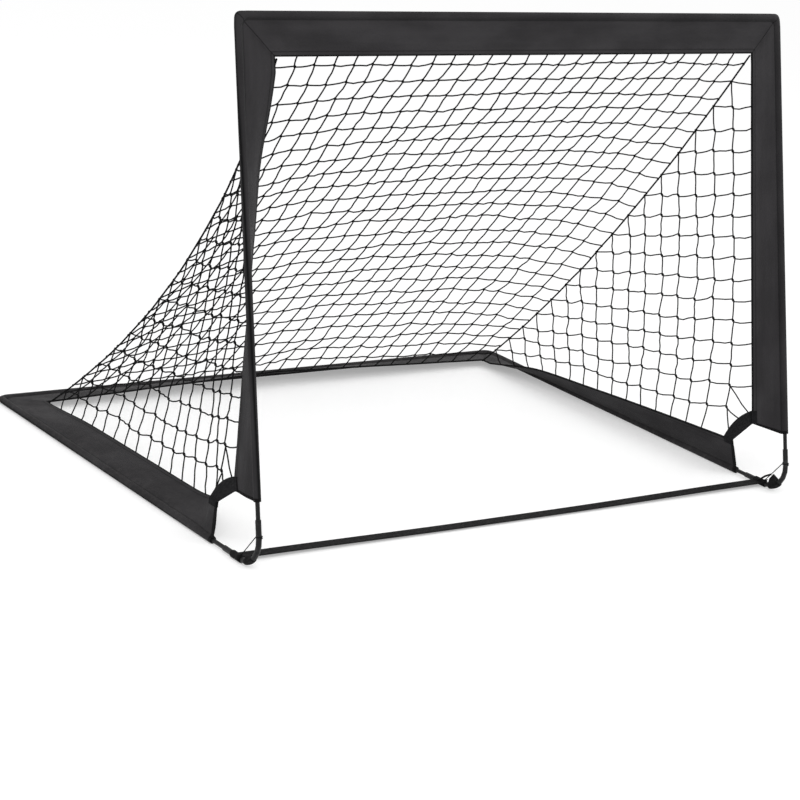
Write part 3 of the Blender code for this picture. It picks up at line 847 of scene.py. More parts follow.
class Finish:
    """A finish that can be built as a material. Its effects read the cloth coordinates, or those of space."""

    name: str
    space: ClassVar[str] = "UV"

    def paint(self, coat: Coat) -> None:
        """Paint the coat, which each finish does in its own way."""
        raise NotImplementedError(self.name)

    def material(self, effects: EffectLibrary) -> bpy.types.Material:
        """Build the material.

        Args:
            effects: The shared effects.

        Returns:
            The material.
        """
        coat = Coat(self.name, effects, self.space)
        self.paint(coat)
        return coat.made


@dataclass(frozen=True)
class SleeveCloth(Finish):
    """Coated charcoal oxford cloth, with a soft cloudy sheen, rows of stitches, and painted highlight and shade.
    """

    name: str = "charcoal_oxford"
    dark: Colour = (0.0150, 0.0140, 0.0152)
    light: Colour = (0.0290, 0.0272, 0.0295)
    thread: Colour = (0.0060, 0.0060, 0.0065)
    rows: tuple[float, ...] = (0.0080, 0.0595)
    tunnel_edge: float = 0.0075
    tunnel_fade: float = 0.0022
    tunnel_shade: float = 0.30
    outer_line: float = -0.0084
    outer_fade: float = 0.0036
    outer_shade: float = 0.85

    def paint(self, coat: Coat) -> None:
        """Paint the cloth.

        Args:
            coat: The material in the making.
        """
        sheet = coat.sheet
        weave = coat.effect(Effect.WEAVE, along=0.0007, across=0.0009)
        clouds = coat.effect(Effect.CLOUDS, size=0.07, stretch=0.45)
        streaks = coat.effect(Effect.CLOUDS, size=0.012, stretch=0.06)
        across = sheet.split(coat.place)[1]
        tone = sheet.plus(sheet.times(clouds["Broad"], 0.55), sheet.times(streaks["Broad"], 0.25))
        # Painted highlight: the crowns of the woven threads are a little lighter.
        tone = sheet.plus(tone, sheet.times(weave["Lit"], 0.20), clamp=True)
        # Painted shade: the whole tunnel is darker, and the darkening fades out just past its row of stitches.
        edge = self.tunnel_edge
        shade = sheet.between(across, edge, edge + self.tunnel_fade, self.tunnel_shade, 0.0)
        tone = sheet.minus(tone, shade, clamp=True)
        # Painted shade: a near-black band along the outer side of the tunnel, beside its black outermost strip.
        line = self.outer_line
        outer = sheet.between(across, line, line + self.outer_fade, self.outer_shade, 0.0)
        colour = sheet.mix(outer, sheet.mix(tone, self.dark, self.light), self.thread)
        relief = sheet.times(weave["Height"], 0.22)
        for row in self.rows:
            stitches = coat.effect(Effect.STITCHES, row=row, pitch=0.0034, width=0.00045)
            # Painted shade: the cloth darkens in the dimple that each row of stitches pulls in.
            colour = sheet.mix(sheet.times(stitches["Dimple"], 0.55), colour, self.thread)
            colour = sheet.mix(stitches["Thread"], colour, self.thread)
            relief = sheet.minus(relief, sheet.times(stitches["Dimple"], 0.9))
            relief = sheet.plus(relief, sheet.times(stitches["Thread"], 0.8))
        relief = sheet.plus(relief, sheet.times(clouds["Fine"], 0.5))
        colour = coat.dusted(colour, 0.03, 0.012, 0.12, CLOTH_DUST)
        sheet.feed(0.03, coat.surface["Sheen Weight"])
        sheet.feed(0.5, coat.surface["Sheen Roughness"])
        coat.close(colour, sheet.between(clouds["Broad"], 0.0, 1.0, 0.86, 0.70), 0.18, relief, 0.0005)


@dataclass(frozen=True)
class Webbing(Finish):
    """Ribbed nylon webbing: cross ribs and fine threads, with painted highlight on the thread crowns, painted
    shade in their hollows, and colour that darkens towards both edges.
    """

    name: str
    core: Colour
    rib: Colour
    half_width: float
    edge: float = 0.0022

    def paint(self, coat: Coat) -> None:
        """Paint the webbing.

        Args:
            coat: The material in the making.
        """
        sheet = coat.sheet
        weave = coat.effect(Effect.WEAVE, along=0.0011, across=0.0016)
        clouds = coat.effect(Effect.CLOUDS, size=0.03, stretch=0.4)
        off = sheet.math("ABSOLUTE", sheet.split(coat.place)[1])
        # The colour darkens and the relief sinks towards both edges of the band.
        edge_band = sheet.between(off, self.half_width - self.edge, self.half_width - self.edge * 0.5)
        # Painted highlight and shade: the crowns of the woven threads take the lighter colour and their hollows
        # the darker one.
        tone = sheet.times(weave["Lit"], sheet.plus(sheet.times(clouds["Broad"], 0.5), 0.5))
        colour = sheet.mix(tone, self.rib, self.core)
        colour = sheet.mix(sheet.times(edge_band, 0.75), colour, self.rib)
        colour = coat.dusted(colour, 0.02, 0.006, 0.10, CLOTH_DUST)
        relief = sheet.minus(weave["Height"], sheet.times(edge_band, 0.5))
        coat.close(colour, sheet.between(clouds["Fine"], 0.0, 1.0, 0.85, 0.68), 0.10, relief, 0.0004)


@dataclass(frozen=True)
class LaidCord(Finish):
    """Twisted black cord: strands that wind round it, with painted shade in its grooves between lighter crowns."""

    name: str
    crown: Colour
    groove: Colour
    radius: float
    strands: float
    pitch: float

    def paint(self, coat: Coat) -> None:
        """Paint the cord.

        Args:
            coat: The material in the making.
        """
        sheet = coat.sheet
        girth = 2 * math.pi * self.radius
        twist = coat.effect(Effect.TWIST, pitch=self.pitch, girth=girth, strands=self.strands)
        clouds = coat.effect(Effect.CLOUDS, size=0.02, stretch=1.0)
        # Painted shade: the grooves between the strands take the darker groove colour.
        colour = sheet.mix(twist["Groove"], self.crown, self.groove)
        colour = sheet.mix(sheet.times(clouds["Broad"], 0.35), colour, self.groove)
        relief = sheet.plus(twist["Height"], sheet.times(clouds["Fine"], 0.2))
        rough = sheet.between(clouds["Fine"], 0.0, 1.0, 0.9, 0.7)
        coat.close(colour, rough, 0.08, relief, self.radius * 0.3)


@dataclass(frozen=True)
class TubeCoat(Finish):
    """The surface of a rod or tube: a coat or bare metal, with handling marks and dust near the ground."""

    name: str
    colour: Colour
    worn: Colour
    smooth: float
    rough: float
    metallic: float = 0.0
    space: ClassVar[str] = "Object"

    def paint(self, coat: Coat) -> None:
        """Paint the tube.

        Args:
            coat: The material in the making.
        """
        sheet = coat.sheet
        marks = coat.effect(Effect.CLOUDS, size=0.010, stretch=0.25)
        grain = coat.effect(Effect.CLOUDS, size=0.003, stretch=0.08)
        rubbed = sheet.between(marks["Broad"], 0.72, 1.0)
        colour = sheet.mix(sheet.times(rubbed, 0.5), self.colour, self.worn)
        colour = coat.dusted(colour, 0.03, 0.004, 0.10, TUBE_DUST)
        sheet.feed(self.metallic, coat.surface["Metallic"])
        rough = sheet.between(grain["Broad"], 0.0, 1.0, self.smooth, self.rough)
        coat.close(colour, rough, 0.5 if self.metallic else 0.20, grain["Fine"], 0.00006)


@dataclass(frozen=True)
class StudioFloor(Finish):
    """Plain white floor paint, which takes the goal's shadow."""

    name: str = "studio_floor"
    paint_colour: Colour = (0.74, 0.74, 0.74)
    scuffed: Colour = (0.71, 0.71, 0.71)
    glow: float = 0.34
    space: ClassVar[str] = "Object"

    def paint(self, coat: Coat) -> None:
        """Paint the floor.

        Args:
            coat: The material in the making.
        """
        sheet = coat.sheet
        clouds = coat.effect(Effect.CLOUDS, size=0.5, stretch=1.0)
        sheet.feed(WHITE, coat.surface["Emission Color"])
        sheet.feed(sheet.times(sheet.seen_directly(), self.glow), coat.surface["Emission Strength"])
        colour = sheet.mix(sheet.times(clouds["Broad"], 0.02), self.paint_colour, self.scuffed)
        coat.close(colour, 0.95, 0.0)


@dataclass
class FinishRack:
    """All the finishes, built once."""

    effects: EffectLibrary = field(default_factory=EffectLibrary)
    materials: dict[str, bpy.types.Material] = field(default_factory=dict)

    def __post_init__(self) -> None:
        """Build the materials."""
        black = (0.0080, 0.0080, 0.0085)
        groove = (0.0030, 0.0030, 0.0034)
        finishes = (
            SleeveCloth(),
            Webbing("black_binding", (0.0060, 0.0058, 0.0064), (0.0025, 0.0025, 0.0028), 1.0),
            Webbing("corner_webbing", (0.0120, 0.0115, 0.0135), (0.0050, 0.0050, 0.0055), 0.0125),
            Webbing("strap_webbing", (0.0170, 0.0165, 0.0175), (0.0040, 0.0040, 0.0044), 0.0125, 0.0050),
            LaidCord("net_twine", black, groove, 0.00115, 2.0, 0.0034),
            LaidCord("edge_cord", black, (0.0025, 0.0025, 0.0030), 0.0017, 3.0, 0.0070),
            LaidCord("tie_cord", black, groove, 0.0012, 3.0, 0.0040),
            TubeCoat("satin_black_tube", (0.0050, 0.0050, 0.0056), (0.030, 0.030, 0.031), 0.30, 0.42),
            TubeCoat("black_rod", (0.0045, 0.0045, 0.0050), (0.022, 0.022, 0.023), 0.34, 0.50),
            TubeCoat("drawn_steel", (0.52, 0.53, 0.55), (0.36, 0.36, 0.37), 0.24, 0.42, metallic=1.0),
            StudioFloor(),
        )
        for finish in finishes:
            self.materials[finish.name] = finish.material(self.effects)

    def __getitem__(self, name: str) -> bpy.types.Material:
        """Return a material by its name."""
        return self.materials[name]


@dataclass
class Sleeves:
    """The cloth covers of all bars: a snug tunnel round the rod, a flap, a stitched hem and a black binding."""

    CLOTH: ClassVar[int] = 0
    BINDING: ClassVar[int] = 1

    plan: GoalPlan
    rack: FinishRack
    spacing: float = 0.011
    snug: float = 0.0004
    valley: float = 0.0080
    hem: float = 0.0095
    ripple: float = 0.0011
    seam_pinch: float = 0.45
    seam_calm: float = 0.8
    seam_length: float = 0.001
    hem_ring: float = 0.006
    slant_length: float = 0.08
    post_blend: float = 0.05
    crossbar_blend: float = 0.03
    back_gap: float = 0.00002
    corner_steps: int = 6
    corner_proud: float = 0.0058
    corner_share: float = 0.72

    def section(self) -> list[SectionPoint]:
        """Return the section, once round, from the outermost point of the tunnel.

        Returns:
            For each point its distance towards the flap's edge, its height, its cloth coordinate, and the slot of
            the face that follows.
        """
        snug = self.plan.tunnel - self.snug
        reach = self.plan.reach
        upper = []
        for angle in (180, 166, 148, 128, 105, 80, 55, 35):
            turn = math.radians(angle)
            cloth = self.valley - snug * (turn - math.radians(20))
            # The outermost strip of the tunnel takes the black binding: partly the bound fold of the cloth, and
            # partly painted shade along the tunnel's outer edge.
            slot = self.BINDING if angle > 166 else self.CLOTH
            upper.append((snug * math.cos(turn), snug * math.sin(turn), cloth, slot))
        # The flap: the row of stitches at its root, its soft belly, then the row of stitches at its hem.
        flap = (
            (self.valley - 0.0008, 0.0016), (self.valley + 0.0006, 0.00105), (self.valley + 0.0026, 0.0013),
            (0.0180, 0.0017), (0.0280, 0.0018), (0.0390, 0.0017), (0.0500, 0.0014),
            (reach - self.hem, 0.0010), (reach - self.hem + 0.0016, 0.0013), (reach - 0.0034, 0.0015),
        )
        upper += [(across, height, across, self.CLOTH) for across, height in flap]
        binding = ((reach - 0.0032, 0.0018), (reach - 0.0008, 0.0015))
        upper += [(across, height, across, self.BINDING) for across, height in binding]
        slots = [point[3] for point in upper]
        lower = [(across, -height, cloth) for across, height, cloth, _ in upper[:0:-1]]
        return upper + [(*point, slot) for point, slot in zip(lower, slots[-2::-1])]

    def ring(self, station: Station, section: Sequence[SectionPoint], seed: float) -> list[Vector]:
        """Return the section's points at one station.

        Args:
            station: The station.
            section: The section.
            seed: Tells this sleeve's ripples from those of the others.

        Returns:
            The points, once round the section.
        """
        away = station.edge - station.centre
        flap = (away - station.direction * away.dot(station.direction)).normalized()
        normal = station.direction.cross(flap)
        root = station.centre + flap * self.valley
        pinch = 1.0 - self.seam_pinch * station.seam
        points = []
        for across, height, _, _ in section:
            if across <= self.valley:
                lift = station.proud * max(0.0, -across / self.plan.tunnel) ** 2
                points.append(station.centre + flap * (across - lift) + normal * height)
                continue
            share = (across - self.valley) / (self.plan.reach - self.valley)
            calm = math.sin(math.pi * min(share, 0.92)) * (1.0 - self.seam_calm * station.seam)
            # Broad ripples lie along the flap, and finer ones of half their height run askew over them.
            broad = Vector((station.along * 13.0, across * 22.0, seed))
            fine = Vector((station.along * 41.0 + across * 30.0, across * 14.0, seed + 7.0))
            wave = noise.noise(broad) + 0.5 * noise.noise(fine)
            rise = normal * (height * pinch + self.ripple * 1.5 * calm * wave)
            points.append(root + (station.edge - root) * share + rise)
        return points

    def cover(self, name: str, stations: Sequence[Station], seed: float, hemmed: bool = False) -> Piece:
        """Build one cover.

        Args:
            name: The piece's name.
            stations: Its sections in order.
            seed: Tells its ripples from those of the others.
            hemmed: Whether its first end has a black hem.

        Returns:
            The piece.
        """
        section = self.section()
        last = len(stations) - 1

        def slot_of(ring: int, step: int) -> int:
            seam = max(stations[ring].seam, stations[min(ring + 1, last)].seam)
            return self.BINDING if (ring == 0 and hemmed) or seam > 0.9 else section[step][3]

        sketch = MeshSketch()
        rings = [self.ring(station, section, seed) for station in stations]
        along = [station.along for station in stations]
        sketch.loft(rings, along, [point[2] for point in section], slot_of)
        return sketch.build(name, [self.rack["charcoal_oxford"], self.rack["black_binding"]], CLOTH_SHARP)

    def corner(
        self, start: Station, corner: Vector, arriving: Vector, leaving: Vector, mitre: Vector,
    ) -> list[Station]:
        """Return the stations that carry a cover round half a bend to its mitre seam.

        Args:
            start: The last station before the corner.
            corner: Where the two bars' axes meet.
            arriving: The bar's direction towards the corner.
            leaving: The next bar's direction away from it.
            mitre: The inner corner of the two flaps.

        Returns:
            The stations.
        """
        radius = self.plan.bend_radius
        begin = corner - arriving * radius
        centre = begin + leaving * radius
        stations = []
        for place in (0.25, 0.50, 0.75, 1.0):
            point = start.centre.lerp(begin, place)
            edge = start.edge.lerp(mitre, place * self.corner_share)
            stations.append(Station(point, arriving, edge, start.along + (point - start.centre).length))
        reached = stations[-1].along
        for step in range(1, self.corner_steps + 1):
            angle = math.pi / 4 * step / self.corner_steps
            point = centre + (arriving * math.sin(angle) - leaving * math.cos(angle)) * radius
            direction = arriving * math.cos(angle) + leaving * math.sin(angle)
            share = self.corner_share + (1.0 - self.corner_share) * step / self.corner_steps
            edge = start.edge.lerp(mitre, share)
            proud = self.corner_proud * math.sin(2 * angle) ** 3
            stations.append(Station(point, direction, edge, reached + radius * angle, proud))
        close = stations.pop()
        for back, seam in ((0.0005, 0.4), (-0.0002, 1.0)):
            shift = close.direction * back
            moved = replace(close, centre=close.centre - shift, edge=close.edge - shift, seam=seam)
            stations.append(replace(moved, along=close.along + self.seam_length))
        return stations

    def places(self, start: float, end: float) -> list[float]:
        """Return the places of a cover's stations, from its hem to where its corner starts."""
        return [start, start + self.hem_ring] + steps(start + 2 * self.hem_ring, end, self.spacing)

    def post_stations(self, side: int) -> list[Station]:
        """Return the stations of a post's cover, from its lower hem to the top mitre.

        Args:
            side: The side's sign.

        Returns:
            The stations.
        """
        plan = self.plan
        stations = []
        for place in self.places(plan.post_start, plan.top - plan.reach - plan.web_width):
            share = max(0.0, 1.0 - (place - plan.post_start) / self.slant_length)
            edge = plan.post_edge(side, place) + plan.post_direction * plan.post_slant[side] * share
            stations.append(Station(plan.post(side, place), plan.post_direction, edge, place))
        corner = plan.post(side, plan.top)
        return stations + self.corner(
            stations[-1], corner, plan.post_direction, -RIGHT * side, plan.top_mitre(side),
        )

    def bar_stations(self, side: int) -> list[Station]:
        """Return the stations of a side bar's cover, from its front hem to the rear mitre.

        Args:
            side: The side's sign.

        Returns:
            The stations.
        """
        plan = self.plan
        start = plan.side_start - plan.side_lead[side]
        places = self.places(start, plan.rear - plan.reach - plan.web_width)
        stations = [Station(plan.bar(side, place), BACK, plan.bar_edge(side, place), place) for place in places]
        corner = plan.bar(side, plan.rear)
        return stations + self.corner(stations[-1], corner, BACK, -RIGHT * side, plan.rear_mitre(side))

    def half_bar(
        self, side: int, start: float, centre: Callable[[float], Vector], edge: Callable[[float], Vector],
        leaving: Vector, mitre: Vector,
    ) -> list[Station]:
        """Return the stations of half a crossbar or back bar, from the middle outwards.

        Args:
            side: The side's sign.
            start: How far from the middle it starts.
            centre: The bar's axis.
            edge: The flap's free edge.
            leaving: The next bar's direction away from the corner.
            mitre: The inner corner of the two flaps.

        Returns:
            The stations.
        """
        plan = self.plan
        end = plan.axis_x - plan.reach - plan.web_width
        stations = [
            Station(centre(side * x), RIGHT * side, edge(side * x), side * x)
            for x in steps(start, end, self.spacing)
        ]
        rest = self.corner(stations[-1], centre(side * plan.axis_x), RIGHT * side, leaving, mitre)
        return stations + [replace(one, along=side * (end + abs(one.along - side * end))) for one in rest]

    def crossbar_stations(self) -> list[Station]:
        """Return the stations of the crossbar's cover, from left to right."""
        plan = self.plan
        left, right = (
            self.half_bar(
                side.value, 0.0, plan.crossbar, plan.crossbar_edge, -plan.post_direction,
                plan.top_mitre(side.value),
            )
            for side in Side
        )
        return [replace(one, direction=-one.direction) for one in left[:0:-1]] + right

    def build(self) -> list[Piece]:
        """Build all covers, and let the back covers ride their base halves.

        Returns:
            The pieces.
        """
        plan = self.plan
        made = []
        for side in Side:
            sign = side.value
            label = side.label
            post = self.cover(f"post_cover_{label}", self.post_stations(sign), 3.0 + sign, hemmed=True)
            around = plan.post(sign, plan.post_part)
            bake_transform(post)
            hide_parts(f"post_sleeve_lower_{label}", f"post_sleeve_upper_{label}")
            bar = self.cover(f"side_cover_{label}", self.bar_stations(sign), 11.0 + sign, hemmed=True)
            around = plan.bar(sign, plan.side_part)
            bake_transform(bar)
            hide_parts(f"side_sleeve_front_{label}", f"side_sleeve_rear_{label}")
            mitre = plan.rear_mitre(sign)
            half = self.half_bar(sign, self.back_gap, plan.back_bar, plan.back_edge, -BACK, mitre)
            rear = self.cover(f"back_cover_{label}", half, 19.0)
            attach(rear, f"{label}_base_half")
            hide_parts(f"back_sleeve_{label}")
            made += [post, bar, rear]
        top = self.cover("crossbar_cover", self.crossbar_stations(), 27.0)
        middle = plan.crossbar(0.0)
        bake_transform(top)
        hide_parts("crossbar_sleeve_left", "crossbar_sleeve_right")
        made.append(top)
        return made


@dataclass
class CornerWebs:
    """The webbing that is sewn across each front corner, from the post's flap to the side bar's flap."""

    SECTION: ClassVar = ((0.0, 0.55), (0.07, 1.0), (0.5, 0.9), (0.93, 1.0), (1.0, 0.55))

    plan: GoalPlan
    rack: FinishRack
    overlap: float = 0.010
    free_half: float = 0.0012
    sewn_half: float = 0.0030
    sewn_share: float = 0.08
    count: int = 20

    def ring(self, low: Vector, high: Vector, normal: Vector, half: float) -> list[Vector]:
        """Return the section of the band between its two edges.

        Args:
            low: The edge towards the corner.
            high: The edge towards the net.
            normal: The direction square to the band.
            half: Half its thickness.

        Returns:
            The points, once round the section.
        """
        front = [low.lerp(high, across) + normal * half * thick for across, thick in self.SECTION]
        rear = [low.lerp(high, across) - normal * half * thick for across, thick in self.SECTION[::-1]]
        return front + rear

    def web(self, side: Side) -> Piece:
        """Build one web.

        Args:
            side: Which side.

        Returns:
            The piece.
        """
        plan = self.plan
        sign = side.value
        low_post, low_bar, high_post, high_bar = plan.web_corners(sign)
        post_flap = plan.post_flap(sign, plan.post_start)
        bar_flap = plan.bar_flap(sign, plan.side_start)
        length = (low_bar - low_post).length
        along = (low_bar - low_post).normalized()
        laps = [self.overlap * step / 2.0 for step in range(3)]
        rings = []
        lengths = []
        normal = post_flap.cross(plan.post_direction).normalized()
        for lap in laps:
            shift = -post_flap * (self.overlap - lap)
            rings.append(self.ring(low_post + shift, high_post + shift, normal, self.sewn_half))
            lengths.append(lap - self.overlap)
        for step in range(1, self.count):
            share = step / self.count
            inner = low_post.lerp(low_bar, share)
            outer = plan.web_outer(sign, share)
            normal = facing(along.cross(outer - inner).normalized(), normal)
            sewn = max(0.0, 1.0 - min(share, 1.0 - share) / self.sewn_share)
            half = self.free_half + (self.sewn_half - self.free_half) * sewn
            rings.append(self.ring(inner, outer, normal, half))
            lengths.append(share * length)
        normal = facing(bar_flap.cross(BACK).normalized(), normal)
        for lap in laps:
            shift = -bar_flap * lap
            rings.append(self.ring(low_bar + shift, high_bar + shift, normal, self.sewn_half))
            lengths.append(length + lap)
        half_ring = [plan.web_width * (across - 0.5) for across, _ in self.SECTION]
        sketch = MeshSketch()
        sketch.loft(rings, lengths, half_ring + half_ring[::-1])
        piece = sketch.build(f"corner_webbing_{side.label}", [self.rack["corner_webbing"]], BAND_SHARP)
        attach(piece, f"{side.label}_end")
        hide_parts(f"corner_web_{side.label}")
        return piece

    def build(self) -> list[Piece]:
        """Build both webs."""
        return [self.web(side) for side in Side]


@dataclass
class NetMaker:
    """The knotted square mesh of the back and the two sides."""

    plan: GoalPlan
    rack: FinishRack
    radius: float = 0.00138
    knot_size: float = 0.0030
    sway_scale: float = 17.0
    bend_scale: float = 60.0
    bends: tuple[float, float] = (0.33, 0.67)
    roof_slant: float = 0.0017
    roof_sway: float = 0.0048
    roof_slack: tuple[float, float] = (0.0018, 0.0024)
    roof_stretch: float = 1.25
    side_slant: float = 0.0029
    side_sway: float = 0.0060
    side_slack: tuple[float, float] = (0.0026, 0.0022)
    side_stretch: float = 1.4
    sewn: tuple[float, float, float] = (0.08, 0.40, 0.78)
    sewn_slack: float = 0.0030
    corner_gap: float = 0.016
    post_gap: float = 0.006
    side_gap: float = 0.020
    sides: int = 5
    columns: int = 26
    rows: int = 25
    side_cells: int = 17
    tuck: float = 0.002
    line_radius: float = 0.0017
    line_sway: float = 0.0015
    line_knot: float = 0.0026

    def sway(self, point: Vector, seed: float, amount: float) -> Vector:
        """Return a small steady offset for a place of the net, where the seed tells the nets apart."""
        return noise.noise_vector(point * self.sway_scale + Vector((seed, seed, seed))) * amount

    def strand(
        self, sketch: MeshSketch, knots: Sequence[Vector], slack: float, seed: float, slant: Vector = STILL,
    ) -> None:
        """Add one cord through its knots, a little slack between them.

        Args:
            sketch: The net's mesh.
            knots: The places that the cord passes.
            slack: How far it strays between knots.
            seed: Tells its bends from those of other cords.
            slant: From the middle of each knot to where the cord leaves it. It enters at the other end.
        """
        path = [knots[0]]
        last = len(knots) - 1
        for index in range(last):
            start = knots[index] + (slant if index > 0 else STILL)
            end = knots[index + 1] - (slant if index + 1 < last else STILL)
            if index > 0:
                path.append(start)
            for share in self.bends:
                point = start.lerp(end, share)
                stray = noise.noise_vector(point * self.bend_scale + Vector((seed, 0.0, seed))) * slack
                path.append(point + stray - UP * slack * 0.5)
            path.append(end)
        sketch.tube(path, self.radius, self.sides)

    def row_share(self, row: int) -> float:
        """Return how far down the slope a row of the back net lies. The first cell is half a cell high."""
        return 0.0 if row == 0 else (row - 0.5) / (self.rows - 0.5)

    def roof(self) -> Piece:
        """Build the back net.

        Returns:
            The piece.
        """
        plan = self.plan
        sketch = MeshSketch()
        grid: dict[tuple[int, int], Vector] = {}
        for row in range(self.rows + 1):
            for column in range(self.columns + 1):
                point = plan.roof_point(column / self.columns, self.row_share(row))
                if 0 < column < self.columns and 0 < row < self.rows:
                    point = point + self.sway(point, 1.0, self.roof_sway)
                elif row == 0:
                    point = point + plan.post_direction * self.tuck
                elif row == self.rows:
                    point = point + BACK * self.tuck
                grid[column, row] = point
        slope = (plan.roof_point(0.5, 1.0) - plan.roof_point(0.5, 0.0)).normalized()
        along = (RIGHT + slope).normalized()
        over = (RIGHT - slope).normalized()
        slant = along * self.roof_slant
        down_slack, over_slack = self.roof_slack
        for column in range(1, self.columns):
            knots = [grid[column, row] for row in range(self.rows + 1)]
            self.strand(sketch, knots, down_slack, 3.0, slant)
        for row in range(1, self.rows):
            knots = [grid[column, row] for column in range(self.columns + 1)]
            self.strand(sketch, knots, over_slack, 5.0, slant)
        for row in range(1, self.rows):
            for column in range(1, self.columns):
                seed = column * 3.7 + row * 1.9
                sketch.knot(grid[column, row], along, over, self.knot_size, seed, self.roof_stretch)
        piece = sketch.build("roof_netting", [self.rack["net_twine"]], CORD_SHARP)
        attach(piece, "left_end")
        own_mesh(piece)
        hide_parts("roof_net")
        return piece

    def side_point(self, side: int, column: int, row: int) -> Vector:
        """Return a knot of a side net.

        Args:
            side: The side's sign.
            column: Counts back from the post.
            row: Counts up from the side bar.

        Returns:
            The point.
        """
        plan = self.plan
        last = self.side_cells

        def spread(start: float, end: float, index: int) -> float:
            return start + (end - plan.reach - self.corner_gap - start) * (index - 1) / (last - 1)

        def on_post(index: int) -> Vector:
            start = plan.post_start + plan.post_slant[side] + plan.web_width + self.post_gap
            distance = spread(start, plan.top, index)
            return plan.post_edge(side, distance) - plan.post_flap(side, distance) * self.tuck

        def on_side(index: int) -> Vector:
            start = plan.side_start - plan.side_lead[side] + plan.web_width + self.side_gap
            depth = spread(start, plan.rear, index)
            return plan.bar_edge(side, depth) - plan.bar_flap(side, depth) * self.tuck

        def on_edge(index: int) -> Vector:
            return plan.edge_line(side, index / last)

        if row == 0:
            return on_side(column)
        if column == 0:
            return on_post(row)
        if column + row == last:
            return on_edge(column)
        along_row = on_post(row).lerp(on_edge(last - row), column / (last - row))
        up_column = on_side(column).lerp(on_edge(column), row / (last - column))
        return (along_row * row + up_column * column) / (row + column)

    def side_net(self, side: Side) -> Piece:
        """Build one side net.

        Args:
            side: Which side.

        Returns:
            The piece.
        """
        plan = self.plan
        sign = side.value
        last = self.side_cells
        sketch = MeshSketch()
        grid: dict[tuple[int, int], Vector] = {}
        for row in range(last + 1):
            for column in range(last + 1 - row):
                if row + column == 0:
                    continue
                point = self.side_point(sign, column, row)
                if row > 0 and column > 0 and row + column < last:
                    point = point + self.sway(point, 5.0 + sign, self.side_sway)
                grid[column, row] = point
        along = (BACK + UP).normalized()
        over = (BACK - UP).normalized()
        slant = along * self.side_slant
        over_slack, up_slack = self.side_slack
        near_post, middle, near_bar = (plan.web_outer(sign, share) - UP * self.tuck for share in self.sewn)
        for row in range(1, last):
            first = middle if row == 1 else grid[0, row]
            knots = [first] + [grid[column, row] for column in range(1, last + 1 - row)]
            self.strand(sketch, knots, over_slack, 9.0 + sign, slant)
        for column in range(1, last):
            first = near_bar if column == 1 else grid[column, 0]
            knots = [first] + [grid[column, row] for row in range(1, last + 1 - column)]
            self.strand(sketch, knots, up_slack, 13.0 + sign, slant)
        self.strand(sketch, [grid[1, 2], near_post], self.sewn_slack, 17.0 + sign)
        for (column, row), point in grid.items():
            if row > 0 and column > 0:
                stretch = 1.0 if row + column == last else self.side_stretch
                sketch.knot(point, along, over, self.knot_size, column * 2.3 + row * 4.1, stretch)
        piece = sketch.build(f"side_netting_{side.label}", [self.rack["net_twine"]], CORD_SHARP)
        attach(piece, f"{side.label}_end")
        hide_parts(f"side_net_{side.label}")
        return piece

    def edge_cord(self, side: Side) -> Piece:
        """Build the thicker cord between a side net and the back net.

        Args:
            side: Which side.

        Returns:
            The piece.
        """
        def at(share: float) -> Vector:
            return self.plan.edge_line(side.value, share)

        places = steps(0.0, 1.0, 0.02)
        path = [at(place) + self.sway(at(place), 2.0, self.line_sway) * arch(place) for place in places]
        sketch = MeshSketch()
        sketch.tube(path, self.line_radius, CORD_SIDES)
        for row in range(1, self.rows):
            place = self.row_share(row)
            along = (at(place + 0.01) - at(place)).normalized()
            sketch.knot(at(place), RIGHT, along, self.line_knot, (row - 1) * 1.3)
        piece = sketch.build(f"edge_line_{side.label}", [self.rack["edge_cord"]], CORD_SHARP)
        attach(piece, f"{side.label}_end")
        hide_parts(f"edge_cord_{side.label}")
        return piece

    def build(self) -> list[Piece]:
        """Build the nets and their edge cords.

        Returns:
            The pieces.
        """
        made = [self.roof()]
        for side in Side:
            made += [self.side_net(side), self.edge_cord(side)]
        return made


